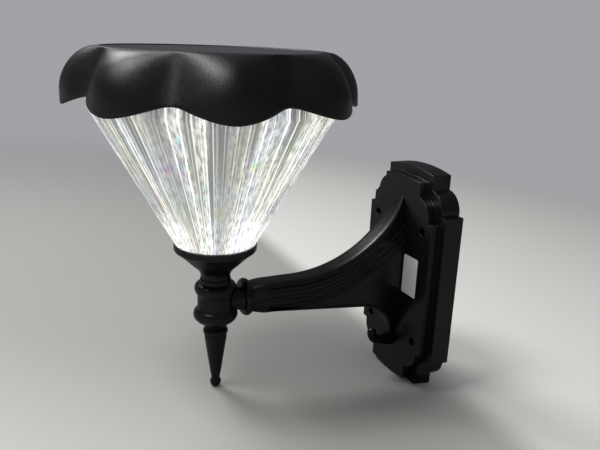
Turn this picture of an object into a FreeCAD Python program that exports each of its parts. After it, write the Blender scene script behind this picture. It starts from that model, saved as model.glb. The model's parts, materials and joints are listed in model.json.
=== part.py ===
import FreeCAD, Part

import math
import os

import Sketcher

# A solar wall light: petal cap with a solar panel, clear ribbed cone lens, turned stem with a
# finial, fluted arm and stepped wall plate.
#
# Frame: +Z up; the wall is the plane y = 0, with the light on its -Y side; the origin is the
# middle of the four wall screws. The lamp axis stands upright at x = 0, y = -reach.

Vector = FreeCAD.Vector

# ---------------------------------------------------------------------------------------------
# Driving dimensions, in millimetres (counts and angles say so)
# ---------------------------------------------------------------------------------------------
DIMENSIONS = {
    "reach": 138.6,                 # wall to lamp axis
    # wall plate
    "plate_depth": 12.6,            # outer layer
    "front_rise": 5.8,              # raised layer above the outer one
    "plate_wall": 2.5,
    "arch_half": 23.3,              # half-width of the arched end
    "arch_height": 69.2,            # height of the arch's ends
    "arch_radius": 114.0,
    "shoulder_height": 60.5,        # top of the quarter-round shoulder
    "shoulder_half": 34.4,
    "shoulder_radius": 12.4,
    "step_height": 47.0,
    "side_half": 38.5,
    "layer_inset": 4.8,             # raised layer, inside the outer outline
    "screw_half_width": 24.3,       # wall screws
    "screw_half_height": 36.0,
    "screw_hole_radius": 2.5,
    "screw_boss_wall": 2.5,
    # arm
    "arm_half_width": 7.6,
    "arm_end_radius": 8.5,          # round end at the collar
    "arm_straight": 28.5,           # level stretch from the collar
    "arm_flare_rise": 45.35,        # rise of the top edge from there to the plate
    "arm_lip_drop": 16.8,           # underside at the scroll's lip
    "arm_lip_reach": 22.5,          # lip, out from the plate
    "arm_tip_radius": 3.1,          # rounded point at the top of the flare
    "arm_taper_height": 22.0,       # where the sides start to draw in
    "arm_taper_radius": 70.0,
    "scroll_radius": 27.0,          # hollow of the C-scroll
    "scroll_web": 2.9,              # wall left behind the hollow
    "scroll_foot": 36.5,            # lower end of the hollow
    "arm_foot": 42.0,               # lowest point of the arm's root
    "arm_foot_half": 2.4,           # half-width there
    "arm_foot_taper": 15.0,         # where the sides start to draw in downwards
    "arm_foot_radius": 60.0,
    "hook_radius": 3.0,             # half-thickness of the hook
    "hook_root_radius": 4.6,        # and where it leaves the plate
    "hook_bend": 6.3,
    "hook_height": 44.6,            # hook's level stretch, below the origin
    "hook_straight": 7.6,
    "flute_radius": 1.2,
    "flute_top": 3.6,               # first flute at the collar
    "flute_pitch": 5.2,
    "flute_sweep": 96.0,
    "flute_straight": 27.0,
    "arm_stud_radius": 2.5,
    "arm_screw_height": 15.0,
    "arm_screw_radius": 2.4,
    "arm_screw_length": 16.0,
    "arm_screw_head_radius": 4.4,
    "arm_screw_head": 3.0,
    # collar and hub
    "collar_radius": 10.9,
    "collar_width": 5.0,
    "neck_length": 15.1,            # lamp axis to the collar
    "neck_radius": 7.0,
    "hub_foot": 16.1,               # below the origin
    "hub_foot_radius": 5.9,
    "hub_taper_height": 12.3,
    "hub_taper_radius": 8.5,
    "bulge_low": 3.4,
    "bulge_radius": 4.6,
    "waist_radius": 10.2,
    "bulge_high": 5.4,
    "upper_bulge_top": 11.6,
    "upper_bulge_radius": 3.5,
    "hub_ring_radius": 8.7,
    "hub_top": 14.2,
    # tie rod
    "rod_radius": 2.5,
    "rod_gap": 0.1,
    "rod_depth": 12.0,              # into the finial
    "nut_half_flats": 4.0,
    "nut_height": 4.0,
    "washer_radius": 5.5,
    "washer_height": 1.0,
    # finial
    "finial_ring_radius": 7.1,
    "finial_ring_height": 4.0,
    "finial_top_radius": 6.35,
    "finial_tip_radius": 2.4,
    "finial_tip": 48.2,             # below the origin
    "ball_radius": 3.15,
    # cup
    "cup_neck_radius": 8.2,
    "cup_neck_top": 17.4,
    "cup_waist_radius": 13.9,
    "cup_waist_height": 23.4,
    "cup_rim_radius": 22.8,
    "cup_rim_low": 31.0,
    "cup_rim_top": 35.0,
    "cup_flare_radius": 20.0,
    "cup_wall": 1.6,
    "cup_floor": 22.0,
    "cup_ledge": 31.4,              # floor that carries the lens gasket
    "cup_well_radius": 8.5,
    "lug_depth": 1.0,
    "lug_height": 1.2,
    "lug_degrees": 20.0,            # angle
    "lug_gap": 0.3,
    # lens
    "lens_base_radius": 22.2,
    "lens_base_height": 35.4,
    "lens_mouth_radius": 63.9,
    "lens_collar_low": 108.8,
    "lens_mouth_height": 116.4,
    "lens_wall": 2.4,
    "lens_floor": 2.4,
    "rib_count": 48,                # count
    "rib_depth": 1.1,
    "gasket_height": 0.8,
    "reflector_radius": 15.0,
    "reflector_height": 4.5,
    # petal cap
    "cap_height": 138.0,
    "rim_inset": 5.9,               # cap's rim, in from the lens mouth
    "petal_count": 8,               # count
    "petal_turn": 33.5,             # angle of the first petal's middle
    "petal_reach": 18.0,            # petal middle, out from the rim
    "petal_drop": 21.0,             # depth over which a petal curves down
    "petal_fullness": 1.8,          # exponent of that curve
    "valley_reach": 10.0,           # valley, out from the rim, at the cusp
    "valley_drop": 22.4,
    "hem_height": 109.6,            # lowest point of a petal's hem
    "cusp_rise": 6.0,
    "hem_fullness": 1.7,            # exponent of the hem's wave
    "cap_wall": 2.0,
    "rim_lip": 3.7,                 # between the rim and the panel's recess
    "panel_gap": 0.4,
    "panel_depth": 3.4,             # recess in the cap's top
    "shelf_wall": 2.6,
    "glass_height": 1.2,
    "board_height": 1.2,
    "adhesive_height": 0.4,
    "adhesive_width": 3.0,
    "cell_height": 0.3,
    "cell_width": 13.2,
    "cell_gap": 0.7,
    "cell_count": 7,                # count
    "cell_margin": 3.5,
    "wire_hole_radius": 2.0,
    "post_inset": 8.0,              # circle of the cap's screw posts, in from the rim
    "post_radius": 3.6,
    "post_count": 4,                # count
    # tray
    "tray_floor": 2.0,
    "tray_drop": 6.4,               # skirt below the lens mouth
    "skirt_gap": 0.4,
    "tray_flange": 2.0,
    "tray_wall": 2.0,
    "tray_overhang": 0.3,           # tray's wall, out from the rim
    "tray_gasket": 1.0,
    "seal_radius": 0.9,
    "seal_gap": 0.2,                # running gap to the lens mouth
    "tray_screw_radius": 1.4,
    "tray_screw_head_radius": 2.8,
    "tray_screw_head": 1.8,
    "tray_screw_length": 12.0,
    # light engine
    "led_board_radius": 32.0,
    "led_board_height": 1.6,
    "led_circle": 21.0,
    "led_count": 12,                # count
    "led_size": 3.4,
    "led_height": 0.9,
    "board_screw_circle": 28.0,
    "board_screw_count": 3,         # count
    "board_screw_radius": 1.2,
    "board_screw_head_radius": 2.2,
    "board_screw_head": 1.2,
    # battery and charge board
    "battery_radius": 9.1,
    "battery_length": 65.0,
    "battery_offset": 14.0,         # towards the lamp's front
    "holder_wall": 1.2,
    "holder_height": 13.0,
    "holder_gap": 0.2,
    "board_length": 46.0,
    "board_width": 18.0,
    "board_offset": 20.0,
    "standoff_height": 3.0,
    "standoff_radius": 2.4,
    "chip_height": 2.6,
    # switch
    "switch_inset": 15.0,           # in from the rim
    "switch_radius": 6.0,
    "switch_height": 12.0,
    "switch_bush_radius": 5.0,
    "button_radius": 3.3,
    "button_gap": 0.25,
    "button_reach": 3.4,            # button below the bush
    "button_travel": 1.8,
}

doc = FreeCAD.newDocument("solar_wall_light")


class Size:
    """A length of the sheet, or one worked out from some, with the words that bind it."""

    def __init__(self, words, value):
        self.words = words
        self.value = float(value)

    @staticmethod
    def of(thing):
        """Return a Size for a Size or a plain number."""
        return thing if isinstance(thing, Size) else Size(repr(float(thing)), thing)

    def __add__(self, other):
        other = Size.of(other)
        return Size("(%s + %s)" % (self.words, other.words), self.value + other.value)

    def __sub__(self, other):
        other = Size.of(other)
        return Size("(%s - %s)" % (self.words, other.words), self.value - other.value)

    def __mul__(self, other):
        other = Size.of(other)
        return Size("(%s * %s)" % (self.words, other.words), self.value * other.value)

    def __truediv__(self, other):
        other = Size.of(other)
        return Size("(%s / %s)" % (self.words, other.words), self.value / other.value)

    def __neg__(self):
        return self * -1


class Sheet:
    """The spreadsheet's lengths by name."""

    def __init__(self, values):
        self.cells = doc.addObject("Spreadsheet::Sheet", "dims")
        for row, (name, value) in enumerate(values.items(), start=1):
            self.cells.set("A%d" % row, name)
            self.cells.set("B%d" % row, str(value))
            self.cells.setAlias("B%d" % row, name)
            setattr(self, name, Size("dims." + name, value))
        doc.recompute()


d = Sheet(DIMENSIONS)
ZERO = Size("0", 0.0)

# Heights and depths that several pieces share
plate_front = d.plate_depth + d.front_rise
lamp_y = -d.reach
# The head follows the lens mouth: rim, panel, tray, posts and switch
rim_radius = d.lens_mouth_radius - d.rim_inset
panel_radius = rim_radius - d.rim_lip - d.panel_gap
post_circle = rim_radius - d.post_inset
tray_wall_radius = rim_radius + d.tray_overhang
switch_offset = rim_radius - d.switch_inset
shelf_top = d.cap_height - d.panel_depth
shelf_under = shelf_top - d.shelf_wall
skirt_low = d.lens_mouth_height - d.tray_drop
tray_floor_top = skirt_low + d.tray_floor
skirt_radius = d.lens_mouth_radius - d.lens_wall - d.skirt_gap
seal_circle = d.lens_mouth_radius - d.lens_wall - d.seal_gap - d.seal_radius
seal_groove = seal_circle - d.seal_radius - d.rod_gap
arm_start = d.reach - d.neck_length - d.collar_width
arm_end = -arm_start
stud_depth = d.arm_straight * 0.6
hub_side_depth = d.rod_radius + 2
screw_grip = d.arm_screw_length - d.plate_wall
arm_run_end = d.arm_straight - arm_start
# The flare starts level at arm_run_end and rises along one arc to the plate's front
flare_run = -arm_run_end - plate_front
arm_top_radius = (flare_run * flare_run + d.arm_flare_rise * d.arm_flare_rise) / (
    d.arm_flare_rise * 2)
arm_apex = d.arm_end_radius + d.arm_flare_rise


# ---------------------------------------------------------------------------------------------
# Helpers: sketches, turned and padded bodies, primitives, booleans
# ---------------------------------------------------------------------------------------------
class Corner:
    """A corner of an outline; curve is the radius of an arc that comes from the one before."""

    def __init__(self, x, y, curve=None, hollow=False):
        self.x = Size.of(x)
        self.y = Size.of(y)
        self.curve = curve
        self.hollow = hollow


def bind(thing, prop, size):
    """Tie a property to the sheet, or set it where the size is a plain number."""
    if isinstance(size, Size) and "dims." in size.words:
        thing.setExpression(prop, size.words)
    else:
        thing.setExpression(prop, repr(float(Size.of(size).value)))


def arc_between(start, end, radius, hollow):
    """Return the short arc from start to end; a hollow one bends into the outline."""
    middle = (start + end) * 0.5
    along = end - start
    reach = math.sqrt(max(radius ** 2 - (along.Length / 2) ** 2, 0.0))
    left = Vector(-along.y, along.x, 0).normalize()
    centre = middle + left * (-reach if hollow else reach)
    first, last = (end, start) if hollow else (start, end)
    angles = [math.atan2(p.y - centre.y, p.x - centre.x) for p in (first, last)]
    return Part.ArcOfCircle(Part.Circle(centre, Vector(0, 0, 1), radius), *angles)


class Ties:
    """The constraints of a sketch, gathered first and added together."""

    def __init__(self, sketch):
        self.sketch = sketch
        self.constraints = []
        self.sizes = []

    def join(self, geo, pos, next_geo, next_pos):
        """Let two ends meet."""
        self.constraints.append(Sketcher.Constraint("Coincident", geo, pos, next_geo, next_pos))
        self.sizes.append(None)

    def pin(self, geo, pos, x, y):
        """Fix a point by its two distances from the sketch's origin."""
        for kind, size, axis in (("DistanceX", x, -2), ("DistanceY", y, -1)):
            if size.words == "0":
                constraint = Sketcher.Constraint("PointOnObject", geo, pos, axis)
                size = None
            else:
                constraint = Sketcher.Constraint(kind, -1, 1, geo, pos, size.value)
            self.constraints.append(constraint)
            self.sizes.append(size)

    def radius(self, geo, size):
        """Fix the radius of an arc or a circle."""
        self.constraints.append(Sketcher.Constraint("Radius", geo, size.value))
        self.sizes.append(size)

    def add(self):
        """Add the constraints to the sketch and tie their sizes to the sheet."""
        self.sketch.addConstraint(self.constraints)
        for index, size in enumerate(self.sizes):
            if size is not None:
                bind(self.sketch, "Constraints[%d]" % index, size)


def new_sketch(body, name, plane, offset=None):
    """Add a sketch on one of the body's own origin planes, offset along its normal if asked."""
    support = [f for f in body.Origin.OriginFeatures if f.Role == plane + "_Plane"][0]
    sketch = body.newObject("Sketcher::SketchObject", name)
    sketch.AttachmentSupport = [(support, "")]
    sketch.MapMode = "FlatFace"
    if offset is not None:
        bind(sketch, "AttachmentOffset.Base.z", offset)
    return sketch


def draw_outline(sketch, corners):
    """Draw a closed outline, counter-clockwise, every corner tied to the sheet."""
    points = [Vector(c.x.value, c.y.value, 0) for c in corners]
    ties = Ties(sketch)
    ends = []
    for i, corner in enumerate(corners):
        start, end = points[i - 1], points[i]
        if corner.curve is None:
            geo = sketch.addGeometry(Part.LineSegment(start, end), False)
            ends.append((geo, 1, 2))
        else:
            arc = arc_between(start, end, corner.curve.value, corner.hollow)
            geo = sketch.addGeometry(arc, False)
            ends.append((geo, 2, 1) if corner.hollow else (geo, 1, 2))
            ties.radius(geo, corner.curve)
    for i, corner in enumerate(corners):
        geo, _, last = ends[i]
        next_geo, first, _ = ends[(i + 1) % len(corners)]
        ties.join(geo, last, next_geo, first)
        ties.pin(geo, last, corner.x, corner.y)
    ties.add()


def draw_circles(sketch, circles):
    """Draw circles given as (x, y, radius)."""
    ties = Ties(sketch)
    for x, y, radius in circles:
        x, y, radius = (size if Size.of(size).value else ZERO for size in (x, y, radius))
        x, y, radius = Size.of(x), Size.of(y), Size.of(radius)
        circle = Part.Circle(Vector(x.value, y.value, 0), Vector(0, 0, 1), radius.value)
        geo = sketch.addGeometry(circle, False)
        ties.pin(geo, 3, x, y)
        ties.radius(geo, radius)
    ties.add()


def new_body(label, at=(0, 0, 0)):
    """Add a body whose place is tied to the sheet."""
    body = doc.addObject("PartDesign::Body", label)
    body.Label = label
    place(body, at)
    return body


def place(thing, at):
    """Tie a thing's position to the sheet."""
    for letter, size in zip("xyz", at):
        if isinstance(size, Size) or size:
            bind(thing, "Placement.Base." + letter, size)


def pad(body, name, plane, depth, corners=None, circles=None, both_ways=False, offset=None,
        backwards=False):
    """Pad an outline or circles."""
    sketch = new_sketch(body, name + "_sketch", plane, offset)
    if corners:
        draw_outline(sketch, corners)
    if circles:
        draw_circles(sketch, circles)
    feature = body.newObject("PartDesign::Pad", name)
    feature.Profile = sketch
    bind(feature, "Length", depth)
    feature.Midplane = both_ways
    feature.Reversed = backwards
    return feature


def pocket(body, name, plane, depth, corners=None, circles=None, offset=None, reverse=False,
           both_ways=False):
    """Cut an outline or circles out of a body."""
    sketch = new_sketch(body, name + "_sketch", plane, offset)
    if corners:
        draw_outline(sketch, corners)
    if circles:
        draw_circles(sketch, circles)
    doc.recompute()
    before = body.Shape.Volume
    feature = body.newObject("PartDesign::Pocket", name)
    feature.Profile = sketch
    bind(feature, "Length", depth)
    feature.Reversed = reverse
    feature.Midplane = both_ways
    doc.recompute()
    if body.Shape.Volume > before - 1e-6:
        raise RuntimeError("pocket %s cuts nothing" % name)
    return feature


def turned(label, corners, at=None, plane="XZ"):
    """Turn an outline of (radius, height) corners round the sketch's upright axis."""
    body = new_body(label, at if at is not None else (0, lamp_y, 0))
    sketch = new_sketch(body, label + "_profile", plane)
    draw_outline(sketch, corners)
    feature = body.newObject("PartDesign::Revolution", label + "_turn")
    feature.Profile = sketch
    feature.ReferenceAxis = (sketch, ["V_Axis"])
    feature.Angle = 360.0
    return body


def primitive(kind, label, at=(0, 0, 0), turn=None, **sizes):
    """Add a Part primitive with its sizes and place tied to the sheet."""
    thing = doc.addObject("Part::" + kind, label)
    if turn is not None:
        thing.Placement = FreeCAD.Placement(Vector(0, 0, 0), FreeCAD.Rotation(*turn))
    for prop, size in sizes.items():
        bind(thing, prop, size)
    place(thing, at)
    return thing


# A cylinder's own Z turned to +Y, and to +X
ALONG_Y = (Vector(1, 0, 0), -90)
ALONG_X = (Vector(0, 1, 0), 90)
# A ring's own X turned down and its Y away from the wall, and its Y towards the wall
FROM_BELOW_OUTWARDS = (Vector(0, 0, -1), Vector(0, -1, 0), Vector(-1, 0, 0), "XYZ")
FROM_BELOW_INWARDS = (Vector(0, 0, -1), Vector(0, 1, 0), Vector(1, 0, 0), "XYZ")


def fuse(label, shapes):
    """Join shapes into one."""
    thing = doc.addObject("Part::MultiFuse", label)
    thing.Shapes = shapes
    return thing


def cut(label, base, tools):
    """Cut one or more tools from a base."""
    tool = tools[0] if len(tools) == 1 else fuse(label + "_tools", tools)
    thing = doc.addObject("Part::Cut", label)
    thing.Base = base
    thing.Tool = tool
    return thing


def common(label, base, tool):
    """Keep what two shapes share."""
    thing = doc.addObject("Part::Common", label)
    thing.Base = base
    thing.Tool = tool
    return thing


def group(label, shapes):
    """Hold separate solids of one kind in one node."""
    thing = doc.addObject("Part::Compound", label)
    thing.Links = shapes
    return thing


def on_circle(radius, count, first_degrees=0.0):
    """Return places round the lamp axis, evenly spaced on a circle."""
    places = []
    for k in range(int(Size.of(count).value)):
        angle = math.radians(first_degrees + 360.0 * k / Size.of(count).value)
        places.append((radius * math.cos(angle), lamp_y + radius * math.sin(angle)))
    return places


PARTS = []


def keep(thing, label):
    """Note a finished sub-part; its label names its file."""
    thing.Label = label
    PARTS.append(thing)
    return thing


# ---------------------------------------------------------------------------------------------
# Wall plate
# ---------------------------------------------------------------------------------------------
def plate_outline(inset):
    """Return the plate's stepped and arched outline, drawn in by inset."""
    arch_x = d.arch_half - inset
    arch_z = d.arch_height - inset
    drop_z = d.shoulder_height - inset
    shoulder_x = d.shoulder_half - inset
    step_z = d.step_height - inset
    side_x = d.side_half - inset
    return [
        Corner(side_x, step_z),
        Corner(shoulder_x, step_z),
        Corner(arch_x, drop_z, curve=d.shoulder_radius),
        Corner(arch_x, arch_z),
        Corner(-arch_x, arch_z, curve=d.arch_radius),
        Corner(-arch_x, drop_z),
        Corner(-shoulder_x, step_z, curve=d.shoulder_radius),
        Corner(-side_x, step_z),
        Corner(-side_x, -step_z),
        Corner(-shoulder_x, -step_z),
        Corner(-arch_x, -drop_z, curve=d.shoulder_radius),
        Corner(-arch_x, -arch_z),
        Corner(arch_x, -arch_z, curve=d.arch_radius),
        Corner(arch_x, -drop_z),
        Corner(shoulder_x, -step_z, curve=d.shoulder_radius),
        Corner(side_x, -step_z),
    ]


def wall_screw_places():
    """Return the four wall screws' (x, z)."""
    return [(d.screw_half_width * sx, d.screw_half_height * sz)
            for sx in (1, -1) for sz in (1, -1)]


def arm_screw_heights():
    """Return the heights of the two screws that hold the arm."""
    return [d.arm_screw_height, -d.arm_screw_height * 0.6]


def make_wall_plate():
    """Moulded plate: two stepped layers, hollow behind, with bosses for the screws."""
    body = new_body("wall_plate")
    pad(body, "outer_layer", "XZ", d.plate_depth, plate_outline(ZERO + 0))
    pad(body, "raised_layer", "XZ", plate_front, plate_outline(d.layer_inset))
    pocket(body, "outer_hollow", "XZ", d.plate_depth - d.plate_wall,
           plate_outline(d.plate_wall), reverse=True)
    pocket(body, "raised_hollow", "XZ", plate_front - d.plate_wall,
           plate_outline(d.layer_inset + d.plate_wall), reverse=True)
    boss_radius = d.screw_hole_radius + d.screw_boss_wall
    pad(body, "screw_bosses", "XZ", plate_front - d.plate_wall / 2,
        circles=[(x, z, boss_radius) for x, z in wall_screw_places()])
    pocket(body, "screw_holes", "XZ", plate_front + 1, reverse=True,
           circles=[(x, z, d.screw_hole_radius) for x, z in wall_screw_places()])
    pocket(body, "arm_screw_holes", "XZ", plate_front + 1, reverse=True,
           circles=[(0, z, d.arm_screw_radius + d.rod_gap) for z in arm_screw_heights()])
    return keep(body, "wall_plate")


# ---------------------------------------------------------------------------------------------
# Arm
# ---------------------------------------------------------------------------------------------
def arm_flutes():
    """Return the cutters of the three flutes on each side of the arm."""
    cutters = []
    for k in range(3):
        low = d.flute_top - d.flute_pitch * k
        bend_y = arm_end + d.flute_straight
        for side in (1, -1):
            x = (d.arm_half_width + d.flute_radius * 0.2) * side
            cutters.append(primitive("Cylinder", "flute_run", (x, arm_end - 1, low), ALONG_Y,
                                     Radius=d.flute_radius, Height=d.flute_straight + 1))
            bend = primitive("Torus", "flute_bend", (x, bend_y, low + d.flute_sweep),
                             FROM_BELOW_INWARDS, Radius1=d.flute_sweep,
                             Radius2=d.flute_radius)
            bend.Angle3 = 62.0
            cutters.append(bend)
    return cutters


def make_arm():
    """Cast arm: a flared side outline, drawn in to a point at the top, with flutes and a hook."""
    root_y = -plate_front
    lip_y = root_y - d.arm_lip_reach
    web_y = root_y - d.scroll_web
    hook_z = -d.hook_height
    side = new_body("arm_side")
    pad(side, "side_pad", "YZ", d.arm_half_width * 2, both_ways=True, corners=[
        Corner(arm_end, -d.arm_end_radius),
        Corner(lip_y, -d.arm_lip_drop),
        Corner(web_y, -d.scroll_foot, curve=d.scroll_radius, hollow=True),
        Corner(web_y, -d.arm_foot),
        Corner(root_y, -d.arm_foot),
        Corner(root_y, arm_apex),
        Corner(arm_run_end, d.arm_end_radius, curve=arm_top_radius, hollow=True),
        Corner(arm_end, d.arm_end_radius),
    ])
    front = new_body("arm_front")
    width = d.arm_half_width
    tip = d.arm_tip_radius
    pad(front, "front_pad", "XZ", arm_start, corners=[
        Corner(-d.arm_foot_half, -d.arm_foot, curve=d.arm_foot_radius),
        Corner(d.arm_foot_half, -d.arm_foot),
        Corner(width, -d.arm_foot_taper, curve=d.arm_foot_radius),
        Corner(width, d.arm_taper_height),
        Corner(tip, arm_apex - tip, curve=d.arm_taper_radius),
        Corner(-tip, arm_apex - tip, curve=tip * 1.001),
        Corner(-width, d.arm_taper_height, curve=d.arm_taper_radius),
        Corner(-width, -d.arm_foot_taper),
    ])
    blank = common("arm_blank", side, front)
    # The end at the collar is turned round, and runs out into the arm's corners
    run = d.arm_straight
    end_ring = cut("arm_end_ring", primitive(
        "Cylinder", "arm_end_sleeve", (0, arm_end, 0), ALONG_Y,
        Radius=d.arm_end_radius * 2, Height=run), [primitive(
            "Cone", "arm_end_cone", (0, arm_end, 0), ALONG_Y, Radius1=d.arm_end_radius,
            Radius2=d.arm_end_radius * 1.4, Height=run)])
    stud_bore = primitive("Cylinder", "arm_stud_bore", (0, arm_end, 0), ALONG_Y,
                          Radius=d.arm_stud_radius + d.rod_gap, Height=stud_depth + 1)
    screw_bores = [primitive("Cylinder", "arm_screw_bore", (0, root_y - screw_grip - 1, z),
                             ALONG_Y, Radius=d.arm_screw_radius + d.rod_gap,
                             Height=screw_grip + 1) for z in arm_screw_heights()]
    body = cut("arm_body", blank, [end_ring, stud_bore] + screw_bores + arm_flutes())
    hook_y = root_y - d.hook_straight
    hook_run = primitive("Cone", "hook_run", (0, hook_y, hook_z), ALONG_Y,
                         Radius1=d.hook_radius, Radius2=d.hook_root_radius,
                         Height=d.hook_straight)
    hook_bend = primitive("Torus", "hook_bend", (0, hook_y, hook_z + d.hook_bend),
                          FROM_BELOW_OUTWARDS, Radius1=d.hook_bend, Radius2=d.hook_radius)
    hook_bend.Angle3 = 90.0
    hook_tip = primitive("Sphere", "hook_tip", (0, hook_y - d.hook_bend, hook_z + d.hook_bend),
                         Radius=d.hook_radius)
    return keep(fuse("bracket_arm_whole", [body, hook_run, hook_bend, hook_tip]), "bracket_arm")


def make_arm_screws():
    """Two pan-head screws from behind the plate into the arm's root."""
    screws = []
    head_y = -(plate_front - d.plate_wall)
    for z in arm_screw_heights():
        head = primitive("Cylinder", "arm_screw_head", (0, head_y, z), ALONG_Y,
                         Radius=d.arm_screw_head_radius, Height=d.arm_screw_head)
        shank = primitive("Cylinder", "arm_screw_shank", (0, head_y - d.arm_screw_length, z),
                          ALONG_Y, Radius=d.arm_screw_radius, Height=d.arm_screw_length)
        screws.append(fuse("arm_screw", [head, shank]))
    return keep(group("arm_screws_group", screws), "arm_screws")


def make_collar():
    """Bead ring between the hub's neck and the arm."""
    half = d.collar_width / 2
    bore = d.arm_stud_radius + d.rod_gap
    return keep(turned("arm_collar", [
        Corner(bore, -half),
        Corner(d.collar_radius - half, -half),
        Corner(d.collar_radius - half, half, curve=half * 1.001),
        Corner(bore, half),
    ], at=(0, arm_end - half, 0), plane="XY"), "arm_collar")


def make_arm_stud():
    """Threaded stud through the collar, from the hub into the arm."""
    return keep(primitive("Cylinder", "arm_stud_rod", (0, lamp_y + hub_side_depth, 0), ALONG_Y,
                          Radius=d.arm_stud_radius,
                          Height=d.reach - hub_side_depth + arm_end + stud_depth), "arm_stud")


# ---------------------------------------------------------------------------------------------
# Stem: hub, cup, finial and the rod that holds them
# ---------------------------------------------------------------------------------------------
def make_hub():
    """Turned hub: two bulges round a waist, with a side neck for the arm."""
    bore = d.rod_radius + d.rod_gap
    stem = turned("hub_stem", [
        Corner(bore, -d.hub_foot),
        Corner(d.hub_foot_radius, -d.hub_foot),
        Corner(d.hub_taper_radius, -d.hub_taper_height),
        Corner(d.waist_radius, -d.bulge_low, curve=d.bulge_radius),
        Corner(d.waist_radius, d.bulge_high),
        Corner(d.hub_ring_radius, d.upper_bulge_top, curve=d.upper_bulge_radius),
        Corner(d.hub_ring_radius, d.hub_top),
        Corner(bore, d.hub_top),
    ])
    neck = turned("hub_neck", [
        Corner(ZERO, d.rod_radius + 1.5),
        Corner(d.neck_radius, d.rod_radius + 1.5),
        Corner(d.neck_radius, d.neck_length - 2.5),
        Corner(d.neck_radius + 0.9, d.neck_length),
        Corner(ZERO, d.neck_length),
    ], plane="XY")
    side_bore = primitive("Cylinder", "hub_side_bore", (0, lamp_y + hub_side_depth - 0.5, 0),
                          ALONG_Y, Radius=d.arm_stud_radius + d.rod_gap, Height=d.neck_length)
    return keep(cut("hub_whole", fuse("hub_blank", [stem, neck]), [side_bore]), "stem_hub")


def make_cup():
    """Flared cup that carries the lens, with a lipped groove for the lens's lugs."""
    bore = d.rod_radius + d.rod_gap
    inner = d.cup_rim_radius - d.cup_wall - d.lug_depth
    groove_top = d.cup_ledge + d.gasket_height + d.lug_height + d.lug_gap
    groove = inner + d.lug_depth + d.lug_gap
    cup = turned("cup_turned", [
        Corner(bore, d.hub_top),
        Corner(d.cup_neck_radius, d.hub_top),
        Corner(d.cup_neck_radius, d.cup_neck_top),
        Corner(d.cup_waist_radius, d.cup_waist_height, curve=d.cup_flare_radius, hollow=True),
        Corner(d.cup_rim_radius, d.cup_rim_low, curve=d.cup_flare_radius * 2, hollow=True),
        Corner(d.cup_rim_radius, d.cup_rim_top),
        Corner(inner, d.cup_rim_top),
        Corner(inner, groove_top),
        Corner(groove, groove_top),
        Corner(groove, d.cup_ledge),
        Corner(d.cup_well_radius, d.cup_ledge),
        Corner(d.cup_well_radius, d.cup_floor),
        Corner(bore, d.cup_floor),
    ])
    slots = lug_sectors("cup_slot", inner - 1, groove, groove_top - 0.5,
                        d.cup_rim_top - groove_top + 1, d.lug_degrees.value + 6, 30.0)
    return keep(cut("cup_whole", cup, slots), "lens_cup")


def lug_sectors(name, inner, outer, low, height, degrees, turn):
    """Return three sectors of a ring, evenly spaced round the lamp axis."""
    sectors = []
    for k in range(3):
        start = 120.0 * k + turn - degrees / 2
        whole = primitive("Cylinder", name, (0, lamp_y, low), (Vector(0, 0, 1), start),
                          Radius=outer, Height=height)
        core = primitive("Cylinder", name + "_core", (0, lamp_y, low),
                         Radius=inner, Height=height)
        whole.Angle = degrees
        sectors.append(cut(name + "_sector", whole, [core]))
    return sectors


def make_finial():
    """Turned spike with a bead at its top and a ball at its end."""
    bead = d.finial_ring_height / 2
    low = d.hub_foot + d.finial_ring_height
    body = turned("finial_turned", [
        Corner(ZERO, -d.finial_tip),
        Corner(d.finial_tip_radius, -d.finial_tip),
        Corner(d.finial_top_radius, -low - 1),
        Corner(d.finial_top_radius, -low),
        Corner(d.finial_ring_radius - bead * 0.6, -low),
        Corner(d.finial_ring_radius - bead * 0.6, -d.hub_foot, curve=bead * 1.15),
        Corner(ZERO, -d.hub_foot),
    ])
    ball = primitive("Sphere", "finial_ball",
                     (0, lamp_y, -d.finial_tip - d.ball_radius * 0.9), Radius=d.ball_radius)
    bore = primitive("Cylinder", "finial_bore", (0, lamp_y, -d.hub_foot - d.rod_depth - 0.5),
                     Radius=d.rod_radius + d.rod_gap, Height=d.rod_depth + 0.5)
    return keep(cut("finial_whole", fuse("finial_blank", [body, ball]), [bore]), "finial")


def make_tie_rod():
    """Threaded rod that holds finial, hub and cup together, with its nut and washer."""
    low = -d.hub_foot - d.rod_depth
    nut_low = d.cup_floor + d.washer_height
    rod = primitive("Cylinder", "tie_rod_bar", (0, lamp_y, low), Radius=d.rod_radius,
                    Height=nut_low + d.nut_height + 1 - low)
    keep(rod, "tie_rod")
    washer = primitive("Cylinder", "washer_disc", (0, lamp_y, d.cup_floor),
                       Radius=d.washer_radius, Height=d.washer_height)
    nut = primitive("Prism", "nut_hex", (0, lamp_y, nut_low),
                    Circumradius=d.nut_half_flats / math.cos(math.pi / 6), Height=d.nut_height)
    for disc, label in ((washer, "tie_washer"), (nut, "tie_nut")):
        bore = primitive("Cylinder", label + "_bore", (0, lamp_y, d.cup_floor - 1),
                         Radius=d.rod_radius + d.rod_gap, Height=d.nut_height * 3)
        keep(cut(label + "_ring", disc, [bore]), label)


# ---------------------------------------------------------------------------------------------
# Lens
# ---------------------------------------------------------------------------------------------
def star_wire(radius, depth, height, count):
    """Return a closed wire of flat-sided ribs round the lamp axis."""
    points = []
    for k in range(2 * count):
        reach = radius - (depth if k % 2 else 0.0)
        angle = math.pi * k / count
        points.append(Vector(reach * math.cos(angle), lamp_y.value + reach * math.sin(angle),
                             height))
    return Part.makePolygon(points + points[:1])


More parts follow.
